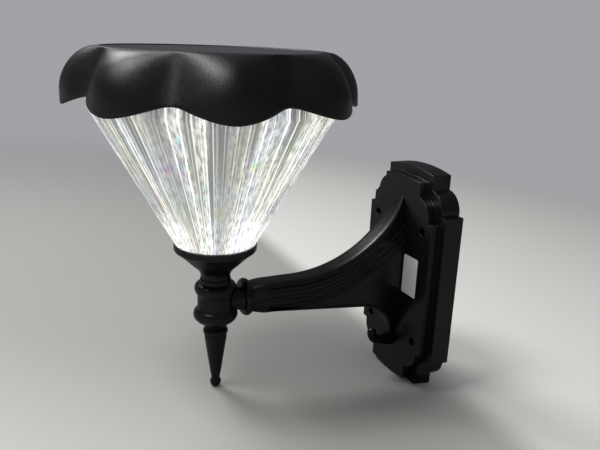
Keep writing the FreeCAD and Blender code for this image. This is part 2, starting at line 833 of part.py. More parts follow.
def make_lens():
    """Clear cone with straight ribs outside, a plain collar at its mouth and a foot with lugs."""
    count = int(d.rib_count.value)
    ribs = doc.addObject("Part::Feature", "lens_ribs")
    ribs.Shape = Part.makeLoft([
        star_wire(d.lens_base_radius.value, d.rib_depth.value * 0.6,
                  d.lens_base_height.value, count),
        star_wire(d.lens_mouth_radius.value, d.rib_depth.value, d.lens_collar_low.value, count),
    ], True, True)
    collar = primitive("Cylinder", "lens_collar", (0, lamp_y, d.lens_collar_low),
                       Radius=d.lens_mouth_radius,
                       Height=d.lens_mouth_height - d.lens_collar_low)
    inner_base = d.lens_base_radius - d.lens_wall
    inner_mouth = d.lens_mouth_radius - d.lens_wall
    floor_z = d.lens_base_height + d.lens_floor
    hollow = primitive("Cone", "lens_hollow", (0, lamp_y, floor_z), Radius1=inner_base,
                       Radius2=inner_mouth, Height=d.lens_collar_low - floor_z)
    mouth = primitive("Cylinder", "lens_mouth", (0, lamp_y, d.lens_collar_low),
                      Radius=inner_mouth, Height=d.lens_mouth_height - d.lens_collar_low + 1)
    foot_radius = d.cup_rim_radius - d.cup_wall - d.lug_depth - d.lug_gap
    foot_low = d.cup_ledge + d.gasket_height
    foot = primitive("Cylinder", "lens_foot", (0, lamp_y, foot_low), Radius=foot_radius,
                     Height=d.lens_base_height - foot_low)
    lugs = lug_sectors("lens_lug", foot_radius - 1, foot_radius + d.lug_depth, foot_low,
                       d.lug_height, d.lug_degrees.value, 0.0)
    blank = fuse("lens_blank", [ribs, collar, foot] + lugs)
    return keep(cut("lens_whole", blank, [hollow, mouth]), "lens_cone")


def make_lens_trim():
    """Gasket under the lens foot and the faceted base reflector inside the lens."""
    gasket = cut("gasket_ring", primitive(
        "Cylinder", "gasket_disc", (0, lamp_y, d.cup_ledge),
        Radius=d.cup_rim_radius - d.cup_wall - d.lug_depth - d.lug_gap,
        Height=d.gasket_height), [primitive(
            "Cylinder", "gasket_hole", (0, lamp_y, d.cup_ledge), Radius=d.cup_well_radius,
            Height=d.gasket_height)])
    keep(gasket, "lens_gasket")
    reflector = primitive("Cone", "reflector_cone",
                          (0, lamp_y, d.lens_base_height + d.lens_floor),
                          Radius1=d.reflector_radius, Radius2=d.reflector_radius * 0.35,
                          Height=d.reflector_height)
    keep(reflector, "base_reflector")


# ---------------------------------------------------------------------------------------------
# Petal cap
# ---------------------------------------------------------------------------------------------
def petal_radius(height, share, inset):
    """Return the cap's radius at a height; share runs from 0 mid-petal to 1 in a valley."""
    drop = d.cap_height.value - height
    curved = min(drop / d.petal_drop.value, 1.0)
    fullness = d.petal_fullness.value
    petal = d.petal_reach.value * (1 - (1 - curved) ** fullness) ** (1 / fullness)
    valley = d.valley_reach.value * drop / d.valley_drop.value
    valley = min(valley, petal)
    lobe = 1 - share ** d.petal_fullness.value
    return rim_radius.value + valley + (petal - valley) * lobe - inset


def petal_ring(height, inset, radius=None, z_of=None):
    """Return a closed smooth ring: the cap's section, or a plain or waved circle."""
    count = int(d.petal_count.value)
    steps = 6 * count
    turn = math.radians(d.petal_turn.value)
    points = []
    for k in range(steps):
        share = abs((k / 6.0 + 0.5) % 1.0 - 0.5) * 2
        reach = petal_radius(height, share, inset) if radius is None else radius
        angle = turn + 2 * math.pi * k / steps
        z = height if z_of is None else z_of(share)
        points.append(Vector(reach * math.cos(angle), lamp_y.value + reach * math.sin(angle), z))
    curve = Part.BSplineCurve()
    curve.interpolate(Points=points, PeriodicFlag=True)
    return Part.Wire([curve.toShape()])


def hem_wave(share):
    """Return the height of the hem; it rises from mid-petal to the cusp in a valley."""
    return d.hem_height.value + d.cusp_rise.value * share ** d.hem_fullness.value


def hem_cutter():
    """Return the ring-shaped solid that trims the skirt to its waved hem."""
    inner = rim_radius.value * 0.7
    outer = rim_radius.value * 1.6
    low = d.hem_height.value - 20
    rings = [
        petal_ring(0, 0, inner, hem_wave),
        petal_ring(0, 0, outer, hem_wave),
        petal_ring(low, 0, outer),
        petal_ring(low, 0, inner),
    ]
    faces = []
    for k in range(4):
        faces += Part.makeLoft([rings[k], rings[(k + 1) % 4]], False, True).Faces
    shell = Part.makeShell(faces)
    shell.sewShape()
    return Part.makeSolid(shell)


def make_cap():
    """Moulded cap: eight petals round a panel recess, screw posts under the shelf."""
    top = d.cap_height.value
    drop = d.petal_drop.value
    low = d.hem_height.value - 6
    fractions = (0.0, 0.03, 0.11, 0.24, 0.42, 0.66, 1.0)
    heights = [top - drop * f for f in fractions] + [low]
    skin = Part.makeLoft([petal_ring(z, 0) for z in heights], True, False)
    under = shelf_under.value
    wall = d.cap_wall.value
    steps = 5
    inner_heights = [under - (under - (top - drop)) * k / steps for k in range(steps + 1)]
    hollow = Part.makeLoft([petal_ring(z, wall) for z in inner_heights + [low - 2]], True, False)
    shell = skin.cut(hollow).cut(hem_cutter())
    petals = doc.addObject("Part::Feature", "cap_petals")
    petals.Shape = shell
    recess = primitive("Cylinder", "panel_recess", (0, lamp_y, shelf_top),
                       Radius=panel_radius + d.panel_gap, Height=d.panel_depth + 1)
    wire_hole = primitive("Cylinder", "wire_hole", (0, lamp_y + d.board_offset, shelf_under - 1),
                          Radius=d.wire_hole_radius, Height=d.shelf_wall + 2)
    posts = []
    pilots = []
    for x, y in on_circle(post_circle, d.post_count, 45.0):
        posts.append(primitive("Cylinder", "screw_post", (x, y, tray_floor_top),
                               Radius=d.post_radius, Height=shelf_under - tray_floor_top + 0.5))
        pilots.append(primitive("Cylinder", "post_pilot", (x, y, tray_floor_top - 1),
                                Radius=d.tray_screw_radius + d.rod_gap,
                                Height=d.tray_screw_length + 1))
    blank = fuse("cap_blank", [petals] + posts)
    return keep(cut("cap_whole", blank, [recess, wire_hole] + pilots), "petal_cap")


def disc(name, radius, low, height):
    """Return a disc on the lamp axis."""
    return primitive("Cylinder", name, (0, lamp_y, low), Radius=radius, Height=height)


def make_panel():
    """Solar panel: adhesive ring, backing board, cells and cover glass."""
    adhesive = cut("adhesive_ring", disc("adhesive_disc", panel_radius, shelf_top,
                                         d.adhesive_height),
                   [disc("adhesive_hole", panel_radius - d.adhesive_width, shelf_top,
                         d.adhesive_height)])
    keep(adhesive, "panel_adhesive")
    board_low = shelf_top + d.adhesive_height
    cell_low = board_low + d.board_height
    glass_low = cell_low + d.cell_height
    keep(disc("panel_board_disc", panel_radius, board_low, d.board_height), "panel_board")
    keep(disc("panel_glass_disc", panel_radius, glass_low, d.glass_height), "panel_glass")
    pitch = d.cell_width + d.cell_gap
    strips = []
    for k in range(int(d.cell_count.value)):
        offset = k - (d.cell_count.value - 1) / 2
        middle = pitch * offset
        strip = primitive("Box", "cell_strip",
                          (middle - d.cell_width / 2, lamp_y - panel_radius, cell_low),
                          Length=d.cell_width, Width=panel_radius * 2, Height=d.cell_height)
        strips.append(common("solar_cell", strip,
                             disc("cell_limit", panel_radius - d.cell_margin, cell_low,
                                  d.cell_height)))
    keep(group("solar_cells_group", strips), "solar_cells")


# ---------------------------------------------------------------------------------------------
# Tray, light engine, battery and switch
# ---------------------------------------------------------------------------------------------
def make_tray():
    """Tray that closes the cap from below: floor, skirt into the lens mouth, flange and wall."""
    wall_top = shelf_under - d.tray_gasket
    mouth = d.lens_mouth_height
    body = turned("tray_turned", [
        Corner(ZERO, skirt_low),
        Corner(skirt_radius, skirt_low),
        Corner(skirt_radius, mouth - d.tray_drop * 0.7),
        Corner(seal_groove, mouth - d.tray_drop * 0.7),
        Corner(seal_groove, mouth - d.tray_drop * 0.3),
        Corner(skirt_radius, mouth - d.tray_drop * 0.3),
        Corner(skirt_radius, mouth),
        Corner(d.lens_mouth_radius, mouth),
        Corner(d.lens_mouth_radius, mouth + d.tray_flange),
        Corner(tray_wall_radius, mouth + d.tray_flange),
        Corner(tray_wall_radius, wall_top),
        Corner(tray_wall_radius - d.tray_wall, wall_top),
        Corner(tray_wall_radius - d.tray_wall, tray_floor_top),
        Corner(ZERO, tray_floor_top),
    ])
    holes = [primitive("Cylinder", "tray_hole", (x, y, skirt_low - 1),
                       Radius=d.tray_screw_radius + d.rod_gap, Height=d.tray_floor + 2)
             for x, y in on_circle(post_circle, d.post_count, 45.0)]
    holes += [primitive("Cylinder", "board_hole", (x, y, skirt_low - 1),
                        Radius=d.board_screw_radius + d.rod_gap, Height=d.tray_floor + 2)
              for x, y in on_circle(d.board_screw_circle, d.board_screw_count)]
    holes.append(primitive("Cylinder", "switch_hole", (0, lamp_y + switch_offset,
                                                       skirt_low - 1),
                           Radius=d.switch_bush_radius, Height=d.tray_floor + 2))
    keep(cut("tray_whole", body, holes), "light_tray")
    gasket = cut("tray_gasket_ring",
                 disc("tray_gasket_disc", tray_wall_radius, wall_top, d.tray_gasket),
                 [disc("tray_gasket_hole", tray_wall_radius - d.tray_wall, wall_top,
                       d.tray_gasket)])
    keep(gasket, "tray_gasket")
    seal = primitive("Torus", "mouth_seal_ring", (0, lamp_y, mouth - d.tray_drop / 2),
                     Radius1=seal_circle, Radius2=d.seal_radius)
    keep(seal, "mouth_seal")
    keep_screws("tray_screws", on_circle(post_circle, d.post_count, 45.0), skirt_low,
                d.tray_screw_radius, d.tray_screw_length, d.tray_screw_head_radius,
                d.tray_screw_head)


def keep_screws(label, places, seat, radius, length, head_radius, head_height):
    """Keep a group of upright screws whose heads lie under the seat."""
    screws = []
    for x, y in places:
        shank = primitive("Cylinder", label + "_shank", (x, y, seat), Radius=radius,
                          Height=length)
        head = primitive("Cylinder", label + "_head", (x, y, seat - head_height),
                         Radius=head_radius, Height=head_height)
        screws.append(fuse(label + "_one", [shank, head]))
    keep(group(label + "_group", screws), label)


def make_light_engine():
    """Round LED board under the tray's floor, its LEDs and its screws."""
    board_low = skirt_low - d.led_board_height
    board = disc("led_board_disc", d.led_board_radius, board_low, d.led_board_height)
    holes = [primitive("Cylinder", "led_board_hole", (x, y, board_low - 1),
                       Radius=d.board_screw_radius + d.rod_gap, Height=d.led_board_height + 2)
             for x, y in on_circle(d.board_screw_circle, d.board_screw_count)]
    keep(cut("led_board_whole", board, holes), "led_board")
    half = d.led_size / 2
    leds = []
    for x, y in (on_circle(d.led_circle, d.led_count, 15.0)
                 + on_circle(d.led_circle * 0.45, d.led_count / 2)):
        leds.append(primitive("Box", "led", (x - half, y - half, board_low - d.led_height),
                              Length=d.led_size, Width=d.led_size, Height=d.led_height))
    keep(group("leds_group", leds), "leds")
    keep_screws("board_screws", on_circle(d.board_screw_circle, d.board_screw_count), board_low,
                d.board_screw_radius, d.led_board_height + d.tray_floor,
                d.board_screw_head_radius, d.board_screw_head)


def make_electronics():
    """Battery in its holder and the charge board on its standoffs, on the tray's floor."""
    base = tray_floor_top
    axis_y = lamp_y - d.battery_offset
    axis_z = base + d.holder_wall + d.battery_radius + d.holder_gap
    cell = primitive("Cylinder", "battery_can", (-d.battery_length / 2, axis_y, axis_z), ALONG_X,
                     Radius=d.battery_radius, Height=d.battery_length)
    keep(cell, "battery")
    half_width = d.battery_radius + d.holder_gap + d.holder_wall
    half_length = d.battery_length / 2 + d.holder_gap + d.holder_wall
    outer = primitive("Box", "holder_block", (-half_length, axis_y - half_width, base),
                      Length=half_length * 2, Width=half_width * 2, Height=d.holder_height)
    inner = primitive("Box", "holder_pocket",
                      (-half_length + d.holder_wall, axis_y - half_width + d.holder_wall,
                       base + d.holder_wall),
                      Length=(half_length - d.holder_wall) * 2,
                      Width=(half_width - d.holder_wall) * 2, Height=d.holder_height)
    keep(cut("holder_whole", outer, [inner]), "battery_holder")
    board_y = lamp_y + d.board_offset - d.board_width / 2
    board_z = base + d.standoff_height
    board = primitive("Box", "charge_board_plate", (-d.board_length / 2, board_y, board_z),
                      Length=d.board_length, Width=d.board_width, Height=d.board_height)
    keep(board, "charge_board")
    inset = d.standoff_radius + 1
    standoffs = []
    for sx, y in ((1, board_y + inset), (-1, board_y + inset),
                  (1, board_y + d.board_width - inset), (-1, board_y + d.board_width - inset)):
        standoffs.append(primitive("Cylinder", "standoff",
                                   ((d.board_length / 2 - inset) * sx, y, base),
                                   Radius=d.standoff_radius, Height=d.standoff_height))
    keep(group("standoffs_group", standoffs), "board_standoffs")
    chips = []
    for share, width in ((0.12, 9.0), (0.42, 6.0), (0.66, 10.0)):
        chips.append(primitive("Box", "chip",
                               (-d.board_length / 2 + d.board_length * share,
                                board_y + d.board_width * 0.3, board_z + d.board_height),
                               Length=width, Width=d.board_width * 0.4, Height=d.chip_height))
    keep(group("chips_group", chips), "board_parts")


def make_switch():
    """Push switch in the tray's floor; its button points down into the lens."""
    y = lamp_y + switch_offset
    bush_low = skirt_low
    body = fuse("switch_blank", [
        primitive("Cylinder", "switch_can", (0, y, tray_floor_top), Radius=d.switch_radius,
                  Height=d.switch_height),
        primitive("Cylinder", "switch_bush", (0, y, bush_low),
                  Radius=d.switch_bush_radius - d.rod_gap, Height=d.tray_floor + 1)])
    depth = d.button_travel * 2 + d.tray_floor
    bore = primitive("Cylinder", "button_bore", (0, y, bush_low - 1),
                     Radius=d.button_radius + d.button_gap, Height=depth + 1)
    keep(cut("switch_whole", body, [bore]), "switch_housing")
    button = primitive("Cylinder", "button_cap", (0, y, bush_low - d.button_reach),
                       Radius=d.button_radius, Height=d.button_reach + depth - d.button_travel
                       - d.button_gap)
    keep(button, "switch_button")


def main():
    """Build every sub-part, check it and write its file."""
    for make in (make_wall_plate, make_arm, make_arm_screws, make_collar, make_arm_stud,
                 make_hub, make_cup, make_finial, make_tie_rod, make_lens, make_lens_trim,
                 make_cap, make_panel, make_tray, make_light_engine, make_electronics,
                 make_switch):
        make()
    doc.recompute()
    for thing in doc.Objects:
        if "Invalid" in thing.State or "Error" in thing.State:
            raise RuntimeError("object %s failed" % thing.Label)
    os.makedirs("parts", exist_ok=True)
    for thing in PARTS:
        shape = thing.Shape
        if shape.isNull() or not shape.isValid():
            raise RuntimeError("sub-part %s has no valid shape" % thing.Label)
        print("%-16s %2d solids %10.1f mm3" % (thing.Label, len(shape.Solids), shape.Volume))
        shape.exportStep("parts/%s.step" % thing.Label)


main()
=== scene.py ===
"""Solar wall light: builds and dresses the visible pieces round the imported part."""

import json
import logging
import math
from collections.abc import Sequence
from dataclasses import dataclass, field
from enum import Enum

import bmesh
import bpy
from mathutils import Matrix, Vector

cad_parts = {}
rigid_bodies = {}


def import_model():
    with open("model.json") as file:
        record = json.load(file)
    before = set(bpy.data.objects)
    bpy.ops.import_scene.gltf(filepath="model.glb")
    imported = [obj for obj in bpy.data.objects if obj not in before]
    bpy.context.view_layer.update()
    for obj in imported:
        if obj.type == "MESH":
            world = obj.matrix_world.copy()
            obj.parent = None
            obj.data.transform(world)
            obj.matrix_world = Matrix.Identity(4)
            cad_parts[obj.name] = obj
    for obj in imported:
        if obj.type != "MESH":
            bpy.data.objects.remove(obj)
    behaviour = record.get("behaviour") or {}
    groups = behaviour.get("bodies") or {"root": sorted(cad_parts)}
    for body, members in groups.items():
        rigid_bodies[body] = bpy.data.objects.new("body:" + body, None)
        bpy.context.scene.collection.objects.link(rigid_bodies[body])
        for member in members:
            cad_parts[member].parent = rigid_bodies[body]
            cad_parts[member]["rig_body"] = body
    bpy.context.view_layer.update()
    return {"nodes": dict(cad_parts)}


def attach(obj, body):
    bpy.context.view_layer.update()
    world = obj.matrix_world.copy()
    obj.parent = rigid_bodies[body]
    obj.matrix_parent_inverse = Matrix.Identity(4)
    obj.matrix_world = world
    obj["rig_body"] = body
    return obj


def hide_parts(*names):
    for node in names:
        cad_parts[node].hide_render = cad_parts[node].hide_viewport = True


LOG = logging.getLogger("wall_light")
MM = 0.001
LAMP_Y = -138.6                      # lamp axis, from the wall
CREASE_ANGLE = math.radians(38.0)
FLOW_STEPS = 4                       # new points between two given ones of a flowing line

Point = tuple[float, float, float]
Colour = tuple[float, float, float]
Profile = list[tuple[float, float]]
Socket = bpy.types.NodeSocket
Material = bpy.types.Material
Piece = bpy.types.Object


class Body(Enum):
    """The bodies that the built pieces ride on."""

    BRACKET = "bracket"
    SHADE = "shade"
    CAP = "cap"


class Shading(Enum):
    """How a piece's faces are shaded."""

    SMOOTH = "smooth"
    CREASED = "creased"


# ---- Finishes ----
class Recipe:
    """The shader nodes of one material while it is put together."""

    def __init__(self, name: str) -> None:
        """Start an empty material with this name."""
        self.material = bpy.data.materials.new(name)
        self.material.use_nodes = True
        self.tree = self.material.node_tree
        self.tree.nodes.clear()
        self.output = self.tree.nodes.new("ShaderNodeOutputMaterial")
        self.shader = self.tree.nodes.new("ShaderNodeBsdfPrincipled")
        self.tree.links.new(self.shader.outputs[0], self.output.inputs["Surface"])

    def node(self, kind: str, inputs: dict | None = None, **settings: object) -> bpy.types.Node:
        """Add a node.

        Args:
            kind: The node's type without its prefix.
            inputs: Values or sockets for the node's inputs, by name or number.
            settings: Plain properties of the node.

        Returns:
            The new node.
        """
        node = self.tree.nodes.new("ShaderNode" + kind)
        for key, value in settings.items():
            setattr(node, key, value)
        for key, value in (inputs or {}).items():
            self.feed(node.inputs[key], value)
        return node

    def feed(self, socket: Socket, value: object) -> None:
        """Link another node's output to an input socket, or set its plain value."""
        if isinstance(value, Socket):
            self.tree.links.new(value, socket)
        else:
            socket.default_value = value

    def dress(self, **inputs: object) -> None:
        """Set or link inputs of the main shader, with _ for a space in their names."""
        for key, value in inputs.items():
            self.feed(self.shader.inputs[key.replace("_", " ")], value)

    def place(self) -> Socket:
        """Return the piece's own coordinates, in metres."""
        return self.node("TexCoord").outputs["Object"]

    def math(self, operation: str, *values: object) -> Socket:
        """Return what a math node's operation makes of sockets or numbers."""
        return self.node("Math", dict(enumerate(values)), operation=operation).outputs[0]

    def times(self, *values: object) -> Socket:
        """Multiply two numbers."""
        return self.math("MULTIPLY", *values)

    def plus(self, *values: object) -> Socket:
        """Add two numbers."""
        return self.math("ADD", *values)

    def noise(self, scale: float, detail: float = 2.0, where: object = None,
              rough: float = 0.5) -> Socket:
        """Return smooth noise.

        Args:
            scale: Waves per metre, or per unit of where.
            detail: Number of finer layers.
            where: Coordinates; the piece's own if left out.
            rough: Weight of the finer layers.

        Returns:
            The noise, around 0.5.
        """
        vector = where if where is not None else self.place()
        node = self.node("TexNoise", {"Vector": vector, "Scale": scale, "Detail": detail,
                                      "Roughness": rough})
        return node.outputs["Fac"]

    def ramp(self, value: object, low: float, high: float, start: float = 0.0,
             end: float = 1.0) -> Socket:
        """Map a number from one range to another, smoothly and within limits.

        Args:
            value: The number.
            low: Where the ramp starts.
            high: Where the ramp ends.
            start: The result at low.
            end: The result at high.

        Returns:
            The mapped number.
        """
        node = self.node("MapRange", {"Value": value, "From Min": low, "From Max": high,
                                      "To Min": start, "To Max": end},
                         interpolation_type="SMOOTHSTEP")
        return node.outputs["Result"]

    def blend(self, share: object, first: object, second: object) -> Socket:
        """Return two colours mixed, by the share of the second."""
        return self.node("Mix", {"Factor": share, 6: first, 7: second},
                         data_type="RGBA").outputs[2]

    def bump(self, height: object, depth: float, under: object = None) -> Socket:
        """Return a bumped normal.

        Args:
            height: The height map.
            depth: Metres from 0 to 1 of the map.
            under: Another bump's normal that lies under this one.

        Returns:
            The normal.
        """
        inputs = {"Height": height, "Distance": depth}
        if under is not None:
            inputs["Normal"] = under
        return self.node("Bump", inputs).outputs["Normal"]


def rgb(red: float, green: float, blue: float) -> tuple[float, float, float, float]:
    """Return an opaque colour."""
    return (red, green, blue, 1.0)


@dataclass(frozen=True)
class MouldedBlack:
    """Black moulded plastic with a fine grain and a little dust."""

    name: str
    grey: float = 0.003
    roughness: float = 0.26
    gloss: float = 0.45
    grain: float = 1500.0            # grains per metre
    grain_depth: float = 0.00003
    ripple_depth: float = 0.0001

    def material(self) -> Material:
        """Return the material."""
        recipe = Recipe(self.name)
        dust = recipe.ramp(recipe.noise(38.0, 5.0, rough=0.65), 0.45, 0.8)
        speck = recipe.ramp(recipe.noise(2600.0, 1.0), 0.66, 0.78)
        tone = recipe.blend(recipe.times(dust, 0.5),
                            rgb(self.grey, self.grey, self.grey * 1.08),
                            rgb(self.grey * 1.8, self.grey * 1.8, self.grey * 1.85))
        tone = recipe.blend(recipe.times(speck, 0.12), tone, rgb(0.05, 0.05, 0.052))
        rough = recipe.plus(self.roughness, recipe.times(dust, 0.1))
        rough = recipe.plus(rough, recipe.times(recipe.noise(420.0), 0.06))
        ripple = recipe.bump(recipe.noise(60.0, 2.0), self.ripple_depth)
        grain = recipe.bump(recipe.noise(self.grain, 2.0), self.grain_depth, under=ripple)
        recipe.dress(Base_Color=tone, Roughness=rough, Normal=grain,
                     Specular_IOR_Level=self.gloss)
        return recipe.material


@dataclass(frozen=True)
class ConePlace:
    """A point's place on the lens: its direction from the axis, and its height in metres."""

    turn_x: Socket
    turn_y: Socket
    z: Socket

    def noise(self, recipe: Recipe, count: float, along: float) -> Socket:
        """Return noise that varies round the cone and less along it.

        Args:
            recipe: The material under construction.
            count: Waves per turn, about six times this.
            along: Waves per metre up the cone.

        Returns:
            The noise.
        """
        where = recipe.node("CombineXYZ", {
            0: recipe.times(self.turn_x, count),
            1: recipe.times(self.turn_y, count),
            2: recipe.times(self.z, along)}).outputs[0]
        return recipe.noise(1.0, 1.0, where)


@dataclass(frozen=True)
class LitLens:
    """Clear ribbed plastic with painted light of the lamp inside: thin bright lines up the ribs
    and grey gaps of painted shade.
    """

    name: str = "lit clear lens"
    ribs: int = 72
    # Emission strengths of the painted light: base over the whole lens, line on the rib lines,
    # haze on the glowing lattice
    base: float = 0.06
    line: float = 0.74
    haze: float = 0.4
    gap_angles: tuple[float, ...] = (-12.0, -44.0, 95.0, 168.0, -130.0)   # degrees; directions of the painted shade gaps
    gap_width: float = 9.0
    foot_low: float = 0.041          # the painted light of a bright hatch near the foot, in metres
    foot_high: float = 0.062

    def material(self) -> Material:
        """Return the material."""
        recipe = Recipe(self.name)
        split = recipe.node("SeparateXYZ", {0: recipe.place()})
        x = split.outputs[0]
        y = recipe.math("SUBTRACT", split.outputs[1], LAMP_Y * MM)
        z = split.outputs[2]
        angle = recipe.math("ARCTAN2", y, x)
        place = ConePlace(recipe.math("COSINE", angle), recipe.math("SINE", angle), z)
        count = recipe.times(angle, self.ribs / math.tau)
        phase = recipe.math("FRACT", recipe.plus(count, self.ribs))
        own = recipe.node("TexWhiteNoise", {"W": recipe.math("FLOOR", count)},
                          noise_dimensions="1D").outputs["Value"]
        drift = place.noise(recipe, 9.0, 9.0)
        fine = place.noise(recipe, 60.0, 260.0)
        thin = self.line_at(recipe, phase, 0.5, 0.13)
        side = self.line_at(recipe, phase, 0.16, 0.07)
        open_part = recipe.ramp(drift, 0.4, 0.58)
        lit = recipe.times(thin, recipe.ramp(own, 0.1, 0.8, 0.25, 1.0))
        lit = recipe.plus(lit, recipe.times(side, recipe.ramp(own, 0.3, 0.9, 0.75, 0.1)))
        lattice = recipe.times(recipe.ramp(fine, 0.38, 0.62, 0.2, 1.0), open_part)
        lit = recipe.plus(recipe.times(lit, self.line), recipe.times(lattice, self.haze))
        # Painted light: a bright hatch near the foot
        foot = recipe.ramp(z, self.foot_low, self.foot_high, 1.0, 0.0)
        lit = recipe.plus(lit, recipe.times(foot, recipe.ramp(fine, 0.4, 0.6, 0.05, 0.5)))
        # Painted shade in the grey gaps, then the painted glow over the whole lens
        lit = recipe.plus(recipe.times(lit, self.gaps(recipe, angle)), self.base)
        colour = self.tint(recipe, place)
        recipe.dress(Base_Color=rgb(0.42, 0.44, 0.42), Roughness=0.1, IOR=1.49,
                     Transmission_Weight=0.6, Emission_Color=colour, Emission_Strength=lit)
        return recipe.material

    def line_at(self, recipe: Recipe, phase: object, middle: float, width: float) -> Socket:
        """Return a soft line once in every rib.

        Args:
            recipe: The material under construction.
            phase: Place across a rib, 0 to 1.
            middle: Where the line lies across the rib.
            width: Share of the rib that it fills.

        Returns:
            1 on the line and 0 off it.
        """
        off = recipe.math("ABSOLUTE", recipe.math("SUBTRACT", phase, middle))
        return recipe.ramp(off, width * 0.2, width, 1.0, 0.0)

    def gaps(self, recipe: Recipe, angle: object) -> Socket:
        """Return 1, and less in the grey gaps of painted shade between the lit parts.

        Args:
            recipe: The material under construction.
            angle: Direction from the lamp axis, in radians.

        Returns:
            The share of light that is left.
        """
        left: object = 1.0
        for degrees in self.gap_angles:
            off = recipe.math("ABSOLUTE", recipe.math("SUBTRACT", angle, math.radians(degrees)))
            left = recipe.times(left, recipe.ramp(
                off, math.radians(self.gap_width * 0.4), math.radians(self.gap_width), 0.45, 1.0))
        return left

    def tint(self, recipe: Recipe, place: ConePlace) -> Socket:
        """Return the painted light's colour: white, a little warm or violet, with a few painted
        coloured glints.

        Args:
            recipe: The material under construction.
            place: Where on the lens.

        Returns:
            The colour.
        """
        shift = place.noise(recipe, 5.0, 30.0)
        colour = recipe.blend(recipe.ramp(shift, 0.35, 0.65), rgb(1.0, 1.0, 0.88),
                              rgb(0.9, 0.9, 1.0))
        # Painted coloured glints in a few flecks
        glint_spot = place.noise(recipe, 13.0, 85.0)
        hue = recipe.node("CombineColor", {
            0: recipe.math("FRACT", recipe.times(shift, 7.0)), 1: 0.7, 2: 1.0},
            mode="HSV").outputs[0]
        return recipe.blend(recipe.ramp(glint_spot, 0.64, 0.72, 0.0, 0.75), colour, hue)


@dataclass(frozen=True)
class PlainFinish:
    """A finish with mottled colour, grain and gloss for the inner pieces."""

    name: str
    colour: Colour
    roughness: float = 0.4
    metallic: float = 0.0
    grain: float = 900.0
    grain_depth: float = 0.00002
    mottle: float = 0.12
    glow: float = 0.0

    def material(self) -> Material:
        """Return the material."""
        recipe = Recipe(self.name)
        share = recipe.ramp(recipe.noise(120.0, 4.0), 0.3, 0.7)
        darker = tuple(c * (1.0 - self.mottle) for c in self.colour)
        tone = recipe.blend(share, rgb(*darker), rgb(*self.colour))
        rough = recipe.plus(self.roughness, recipe.times(recipe.noise(300.0, 3.0), 0.08))
        grain = recipe.bump(recipe.noise(self.grain, 2.0), self.grain_depth)
        recipe.dress(Base_Color=tone, Roughness=rough, Metallic=self.metallic, Normal=grain)
        if self.glow:
            recipe.dress(Emission_Color=tone, Emission_Strength=self.glow)
        return recipe.material


@dataclass(frozen=True)
class CoverGlass:
    """Flat clear cover over the solar cells."""

    name: str = "panel cover"

    def material(self) -> Material:
        """Return the material."""
        recipe = Recipe(self.name)
        haze = recipe.ramp(recipe.noise(45.0, 5.0), 0.4, 0.8)
        recipe.dress(Base_Color=rgb(0.82, 0.88, 0.95), IOR=1.5, Transmission_Weight=1.0,
                     Roughness=recipe.plus(0.02, recipe.times(haze, 0.06)))
        return recipe.material


@dataclass(frozen=True)
class CellFinish:
    """Dark blue cells with fine silver fingers and two bus lines."""

    name: str = "solar cell"
    finger_pitch: float = 2.0        # millimetres
    bus_pitch: float = 14.0

    def material(self) -> Material:
        """Return the material."""
        recipe = Recipe(self.name)
        split = recipe.node("SeparateXYZ", {0: recipe.place()})
        crystal = recipe.node("TexVoronoi", {"Vector": recipe.place(), "Scale": 140.0})
        tone = recipe.blend(recipe.times(crystal.outputs["Distance"], 0.8),
                            rgb(0.004, 0.009, 0.032), rgb(0.012, 0.024, 0.075))
        finger = self.lines(recipe, split.outputs[1], self.finger_pitch, 0.07)
        bus = self.lines(recipe, split.outputs[0], self.bus_pitch, 0.05)
        metal = recipe.math("MAXIMUM", finger, bus)
        recipe.dress(Base_Color=recipe.blend(metal, tone, rgb(0.5, 0.52, 0.55)),
                     Metallic=recipe.times(metal, 0.8), Roughness=0.25)
        return recipe.material

    def lines(self, recipe: Recipe, along: object, pitch: float, width: float) -> Socket:
        """Return thin lines across one direction.

        Args:
            recipe: The material under construction.
            along: The coordinate in metres that the lines repeat along.
            pitch: Millimetres from line to line.
            width: Share of the pitch that a line fills.

        Returns:
            1 on a line and 0 between.
        """
        turn = recipe.math("FRACT", recipe.math("DIVIDE", along, pitch * MM))
        return recipe.math("LESS_THAN", turn, width)


@dataclass(frozen=True)
class LabelFinish:
    """Blank white sticker with faint paper grain."""

    name: str = "blank label"

    def material(self) -> Material:
        """Return the material."""
        recipe = Recipe(self.name)
        fibre = recipe.noise(2200.0, 3.0)
        tone = recipe.blend(fibre, rgb(0.6, 0.61, 0.62), rgb(0.7, 0.71, 0.72))
        recipe.dress(Base_Color=tone, Roughness=0.45,
                     Normal=recipe.bump(recipe.noise(500.0), 0.00004))
        return recipe.material


# ---- Meshes ----
def new_piece(name: str, points: Sequence[Point], faces: Sequence[Sequence[int]], body: Body,
              material: Material, shading: Shading) -> Piece:
    """Make a piece that rides on a body.

    Args:
        name: The piece's name.
        points: Corners in millimetres, in the part's frame.
        faces: Corner numbers of each face.
        body: The body that carries the piece.
        material: Its material.
        shading: How its faces are shaded.

    Returns:
        The new object.
    """
    mesh = bpy.data.meshes.new(name)
    mesh.from_pydata([(x * MM, y * MM, z * MM) for x, y, z in points], [], faces)
    return finish_piece(name, mesh, body, material, shading)


